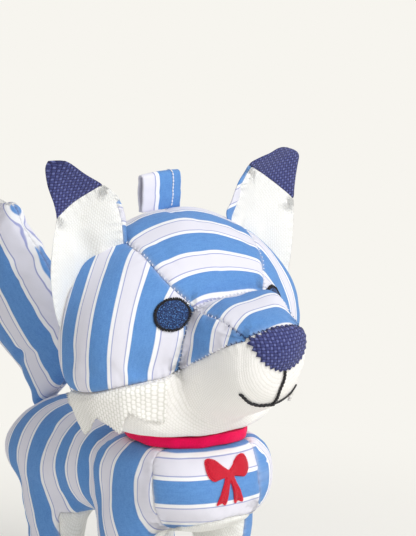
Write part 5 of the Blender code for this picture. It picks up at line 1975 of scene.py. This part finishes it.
    def seam_stitches(self) -> None:
        """Small ladder stitches across the seams of the head."""
        shell = self.head.shell
        normals = shell.normals()
        white, navy = WHITE_THREAD.make("seam_thread"), NAVY_THREAD.make("nose_seam_thread")
        rows: dict[bool, list[tuple[Array, Array]]] = {True: [], False: []}
        for name, chain in shell.seams:
            if len(chain) < 6:
                continue
            places = shell.points[chain]
            close = (NECK[1] - places[:, 1] > 0.056) & (places[:, 2] > NECK[2] + 0.056)
            for dark in (True, False):
                index = np.nonzero(close == dark)[0]
                if len(index) > 2:
                    rows[dark].append((places[index], normals[chain][index]))
        sizes = {"Pitch": 0.0023, "Length": 0.0005, "Width": 0.0015, "Height": 0.0005, "Slant": 0.45,
                 "Jitter": 0.3}
        self.fit(self.stitcher.lay("head_seam_stitches", rows[False], sizes, white), "head", "off_white")
        self.fit(self.stitcher.lay("nose_seam_stitches", rows[True], sizes, navy), "head", "navy")

    def tufts(self) -> None:
        """Pointed flaps of thick twill that hang from the jaw seams."""
        table = self.head.table()[:9]
        start, end, columns = -0.0128, 0.0305, 141
        shape = np.array(self.tuft_shape)
        shares, index = np.linspace(0, 1, columns), np.arange(columns)
        rows = np.array(self.head.skull)[:, 0]
        depths = np.interp(shares, shape[:, 0], shape[:, 1]) * self.tuft_depth
        teeth = np.array((0.0, 0.5, 1.0, 0.5))[index % 4] - 0.5
        depths += 0.0022 * teeth * (0.7 + 0.3 * np.sin(index * 2.3))
        for side in Side:
            inner, outer, flat = [], [], []
            levels = 15
            for level in range(levels + 1):
                for index, (share, depth) in enumerate(zip(shares, depths)):
                    forward = start + (end - start) * share
                    tooth = (index == 0 and level > 0) * 0.0007 * (-1) ** level
                    along = (forward + 0.044) / 0.0775
                    low = min(int(np.searchsorted(rows, along)) - 1, len(rows) - 2)
                    row = smooth_row(table, low + (along - rows[low]) / (rows[low + 1] - rows[low]))
                    across, up = section(level_angle(row[8], row[1:7]), row[1:7])
                    seam = np.array((across, -forward, up))
                    away = unit(np.array((seam[0], seam[1] * 2.0, 0)))
                    drop = depth * level / levels
                    wave = 0.0007 * math.sin(share * 17 + 1) * level / levels
                    rise = min(level / 3, 1.0)
                    out = 0.0012 * rise - drop * 0.36 + wave + tooth
                    place = seam + away * out - np.array((0, -tooth, drop))
                    place[0] *= side.value
                    away[0] *= side.value
                    hit, normal, _, _ = self.head.tree.find_nearest(Vector(NECK + place))
                    gap = float(np.dot(NECK + place - np.array(hit), np.array(normal)))
                    place = place + np.array(normal) * max(0.0011 * rise - 0.0004 - gap, 0.0)
                    inner.append(NECK + place)
                    outer.append(NECK + place + away * (0.0005 + 0.0009 * rise))
                    flat.append((forward, up - drop))
            name = "cheek_tuft_" + side.word
            mesh = sheet_mesh(name + "_cloth", inner + outer, sheet_faces(levels + 1, columns), flat + flat)
            # The flaps' twill is painted paler, with its hollows painted darker: painted light and shade
            item = linked(name + "_cloth", mesh, TUFT_TWILL_PAINTED_LIGHT_SHADE.make(name + "_twill"))
            area = surface_area(item) / 2
            area / 0.056 / 0.72
            self.fit(item, "head", "off_white", name)

    def loop(self) -> None:
        """Folded tape that stands on the crown."""
        bend = self.loop_gap / 2 + self.tape / 2
        top = self.loop_height - self.loop_gap / 2 - self.tape - 0.0012
        path = [(0.0009, -0.0016), (0.0010, 0.0004), (bend * 0.8, 0.0032), (bend, 0.0058)]
        path += [(bend + 0.0003 * math.sin(step), 0.0058 + (top - 0.0058) * step / 5) for step in range(1, 5)]
        path += [(bend * math.cos(math.pi * step / 10), top + bend * math.sin(math.pi * step / 10))
                 for step in range(11)]
        path += [(-bend - 0.0003 * math.sin(step), top - (top - 0.0058) * step / 5) for step in range(1, 5)]
        path += [(-bend, 0.0058), (-bend * 0.8, 0.0032), (-0.0010, 0.0004), (-0.0009, -0.0016)]
        line = np.array(path)
        run = run_along(line)
        turn = np.gradient(line, axis=0)
        away = unit(np.stack((turn[:, 1], -turn[:, 0]), axis=1))
        if away[len(line) // 2][1] < 0:
            away = -away
        base, columns = np.array(self.loop_base), 20
        points, flat = [], []
        for layer in (1, -1):
            for step in range(len(line)):
                for column in range(columns + 1):
                    x = (column / columns - 0.5) * self.loop_width
                    bow_in = 0.0005 * math.sin(run[step] / run[-1] * math.pi) * (2 * x / self.loop_width) ** 2
                    y, z = line[step] + away[step] * (layer * self.tape / 2 - bow_in)
                    points.append(base + np.array((x * (1 - 0.015 * (z / 0.019)), y, z)))
                    flat.append(((x + 0.0018) / 0.030 * CLOTH_PERIOD, run[step]))
        mesh = sheet_mesh("loop_tape", points, sheet_faces(len(line), columns + 1), flat)
        item = linked("loop_tape", mesh, COTTON.make("loop_cotton"))
        bevel = item.modifiers.new("edge", "BEVEL")
        bevel.width = 0.0002
        bevel.segments = 1
        self.fit(item, "loop", "blue_stripe", "hanging_loop")
        side = self.loop_width / 2 - 0.0056
        places = np.array([base + np.array((side, *(line[step] + away[step] * (self.tape / 2 + 0.0001))))
                           for step in range(1, len(line) - 1)])
        ups = np.array([(0, *away[step]) for step in range(1, len(line) - 1)])
        sizes = {"Pitch": 0.0017, "Length": 0.0018, "Width": 0.0009, "Height": 0.0005, "Slant": 0.06,
                 "Jitter": 0.06}
        thread = WHITE_THREAD.make("loop_thread")
        self.fit(self.stitcher.lay("loop_stitches", [(places, ups)], sizes, thread), "loop", "off_white")

    def collar(self) -> None:
        """Felt band folded round the neck seam."""
        profile = [(-0.0006, 0.0040), (-0.0006, -0.0005), (-0.0001, -0.0018), (0.0008, -0.0021),
                   (0.0016, -0.0014), (0.0018, 0.0002), (0.0017, 0.0020), (0.0013, 0.0036)]
        line = np.array(profile)
        turn = np.gradient(line, axis=0)
        away = unit(np.stack((-turn[:, 1], turn[:, 0]), axis=1))
        thick, steps, radius = 0.0009, 140, 0.0286
        points = []
        for step in range(steps):
            angle = 2 * math.pi * step / steps
            lift = 0.00035 * math.sin(angle * 3 + 1) + 0.00022 * math.sin(angle * 7 + 2)
            swell = 0.0004 * math.sin(angle * 5) + 0.00025 * math.sin(angle * 13 + 1)
            for layer in (1, -1):
                for index in range(len(line)):
                    r, z = line[index] + away[index] * (layer * thick / 2)
                    r += radius + swell
                    points.append(NECK + np.array((r * math.sin(angle), -r * math.cos(angle), z + lift)))
        size = len(line)
        faces = []
        for step in range(steps):
            here, there = step * 2 * size, (step + 1) % steps * 2 * size
            ring = list(range(size)) + list(range(2 * size - 1, size - 1, -1))
            for first, second in zip(ring, ring[1:] + ring[:1]):
                faces.append((here + first, there + first, there + second, here + second))
        mesh = closed_mesh("collar_band", points, faces)
        item = linked("collar_band", polished(mesh), FELT.make("collar_felt"))
        rounded(item)
        self.fit(item, "torso", "red_felt", "collar", "neck_stuffing")

    def bow(self) -> None:
        """Small embroidered bow under the collar."""
        line = smooth_outline(self.bow_shape, (self.motif_radius, self.motif_radius), 4)
        centre = NECK + np.array((-self.motif_aside, -0.040, -self.motif_drop))
        patch = Patch("bow_cloth", line, centre, np.array((1.0, 0, 0)), np.array((0, 0, 1.0)),
                      0.0010, 0.0004, 6)
        item, rim, ups = patch.build(self.body.tree, MOTIF_FILL.make("bow_fill"))
        self.fit(item, "torso", "red_felt", "chest_motif")
        closed = np.concatenate((rim, rim[:1])), np.concatenate((ups, ups[:1]))
        sizes = {"Pitch": 0.00055, "Length": 0.0005, "Width": 0.0011, "Height": 0.0006, "Slant": 0.25,
                 "Jitter": 0.2}
        piece = self.stitcher.lay("bow_edge", [closed], sizes, RED_THREAD.make("bow_thread"))
        self.fit(piece, "torso", "red_felt")

    def make(self) -> None:
        """Build every trim."""
        for build in (self.nose, self.eyes, self.mouth, self.seam_stitches, self.tufts, self.loop,
                      self.collar, self.bow):
            build()


@dataclass
class Studio:
    """Camera, lights, floor and backdrop."""

    azimuth: float = -40.0
    elevation: float = 12.0
    distance: float = 3.0
    picture: tuple[int, int] = (416, 536)
    pixels_per_metre: float = 2000.0
    neck_pixel: tuple[float, float] = (186.5, 430.0)
    backdrop: tuple[float, ...] = srgb(247, 245, 239)
    ambient: float = 0.48
    lamp_aim: tuple[float, float, float] = (0, 0, 0.13)
    lamps: tuple[tuple[str, tuple[float, float, float], float, float], ...] = (
        ("key", (0.25, -1.30, 1.10), 0.8, 17.5),
        ("fill", (-1.3, -0.8, 0.6), 1.0, 1.2),
        ("rim", (0.9, 0.9, 0.9), 0.8, 4.0),
    )

    def camera(self) -> None:
        """Place the camera at the photograph's angle, with the neck at its place in the picture."""
        a, e = math.radians(self.azimuth), math.radians(self.elevation)
        back = Vector((math.sin(a) * math.cos(e), -math.cos(a) * math.cos(e), math.sin(e)))
        right = Vector((math.cos(a), math.sin(a), 0))
        up = back.cross(right)
        shift_x = (self.picture[0] / 2 - self.neck_pixel[0]) / self.pixels_per_metre
        shift_z = (self.neck_pixel[1] - self.picture[1] / 2) / self.pixels_per_metre
        aim = Vector(NECK) + right * shift_x + up * shift_z
        data = bpy.data.cameras.new("camera")
        data.lens = self.distance * self.pixels_per_metre * data.sensor_width / self.picture[1]
        data.clip_end = 20
        item = bpy.data.objects.new("camera", data)
        bpy.context.scene.collection.objects.link(item)
        item.location = aim + back * self.distance
        item.rotation_mode = "QUATERNION"
        item.rotation_quaternion = (-back).to_track_quat("-Z", "Y")
        bpy.context.scene.camera = item

    def lamp(self, name: str, place: Sequence[float], size: float, power: float) -> None:
        """Add one soft area lamp that faces the toy."""
        data = bpy.data.lights.new(name, "AREA")
        data.size = size
        data.energy = power
        item = bpy.data.objects.new(name, data)
        item.location = place
        item.rotation_mode = "QUATERNION"
        item.rotation_quaternion = (Vector(self.lamp_aim) - Vector(place)).to_track_quat("-Z", "Y")
        bpy.context.scene.collection.objects.link(item)

    def world(self) -> None:
        """A plain pale surround."""
        world = bpy.data.worlds.new("surround")
        world.use_nodes = True
        tree = world.node_tree
        ambient = tree.nodes["Background"]
        ambient.inputs["Color"].default_value = (1, 1, 1, 1)
        ambient.inputs["Strength"].default_value = self.ambient
        seen = tree.nodes.new("ShaderNodeBackground")
        seen.inputs["Color"].default_value = self.backdrop
        path = tree.nodes.new("ShaderNodeLightPath")
        mixer = tree.nodes.new("ShaderNodeMixShader")
        tree.links.new(path.outputs["Is Camera Ray"], mixer.inputs[0])
        tree.links.new(ambient.outputs[0], mixer.inputs[1])
        tree.links.new(seen.outputs[0], mixer.inputs[2])
        tree.links.new(mixer.outputs[0], tree.nodes["World Output"].inputs[0])
        bpy.context.scene.world = world

    def floor(self) -> None:
        """A pale floor that keeps the shadow near the toy and melts into the backdrop."""
        mesh = bpy.data.meshes.new("floor")
        half = 9.0
        mesh.from_pydata([(-half, -half, 0), (half, -half, 0), (half, half, 0), (-half, half, 0)], [],
                         [(0, 1, 2, 3)])
        kit = ShaderKit("floor")
        kit.shader.inputs["Base Color"].default_value = self.backdrop
        kit.shader.inputs["Roughness"].default_value = 1.0
        kit.shader.inputs["Specular IOR Level"].default_value = 0.0
        flat = kit.node("ShaderNodeEmission", {}, {"Color": self.backdrop, "Strength": 1.0})[0]
        gap = kit.node("ShaderNodeVectorMath", {"operation": "LENGTH"}, {0: kit.place()})[1]
        seen = kit.node("ShaderNodeLightPath")[0]
        far = gap.ramp(0.16, 0.42) * seen
        lit = Sock(kit, kit.shader.outputs[0])
        mixed = kit.node("ShaderNodeMixShader", {}, {0: far, 1: lit, 2: flat})[0]
        kit.feed(kit.tree.nodes["Material Output"].inputs[0], mixed)
        linked("floor", mesh, kit.material)

    def make(self) -> None:
        """Build the whole studio."""
        self.camera()
        self.world()
        self.floor()
        for lamp in self.lamps:
            self.lamp(*lamp)
        bpy.context.scene.view_settings.view_transform = "Standard"


def main() -> None:
    """Build every piece of the toy and its studio."""
    logging.basicConfig(level=logging.INFO, format="%(message)s")
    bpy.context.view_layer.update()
    Studio().make()
    head, body = Head(), Body()
    head.make()
    body.make()
    Tail().make()
    for side in Side:
        Ear(side).make()
    Trims(head, body).make()


if __name__ == "__main__":
    main()
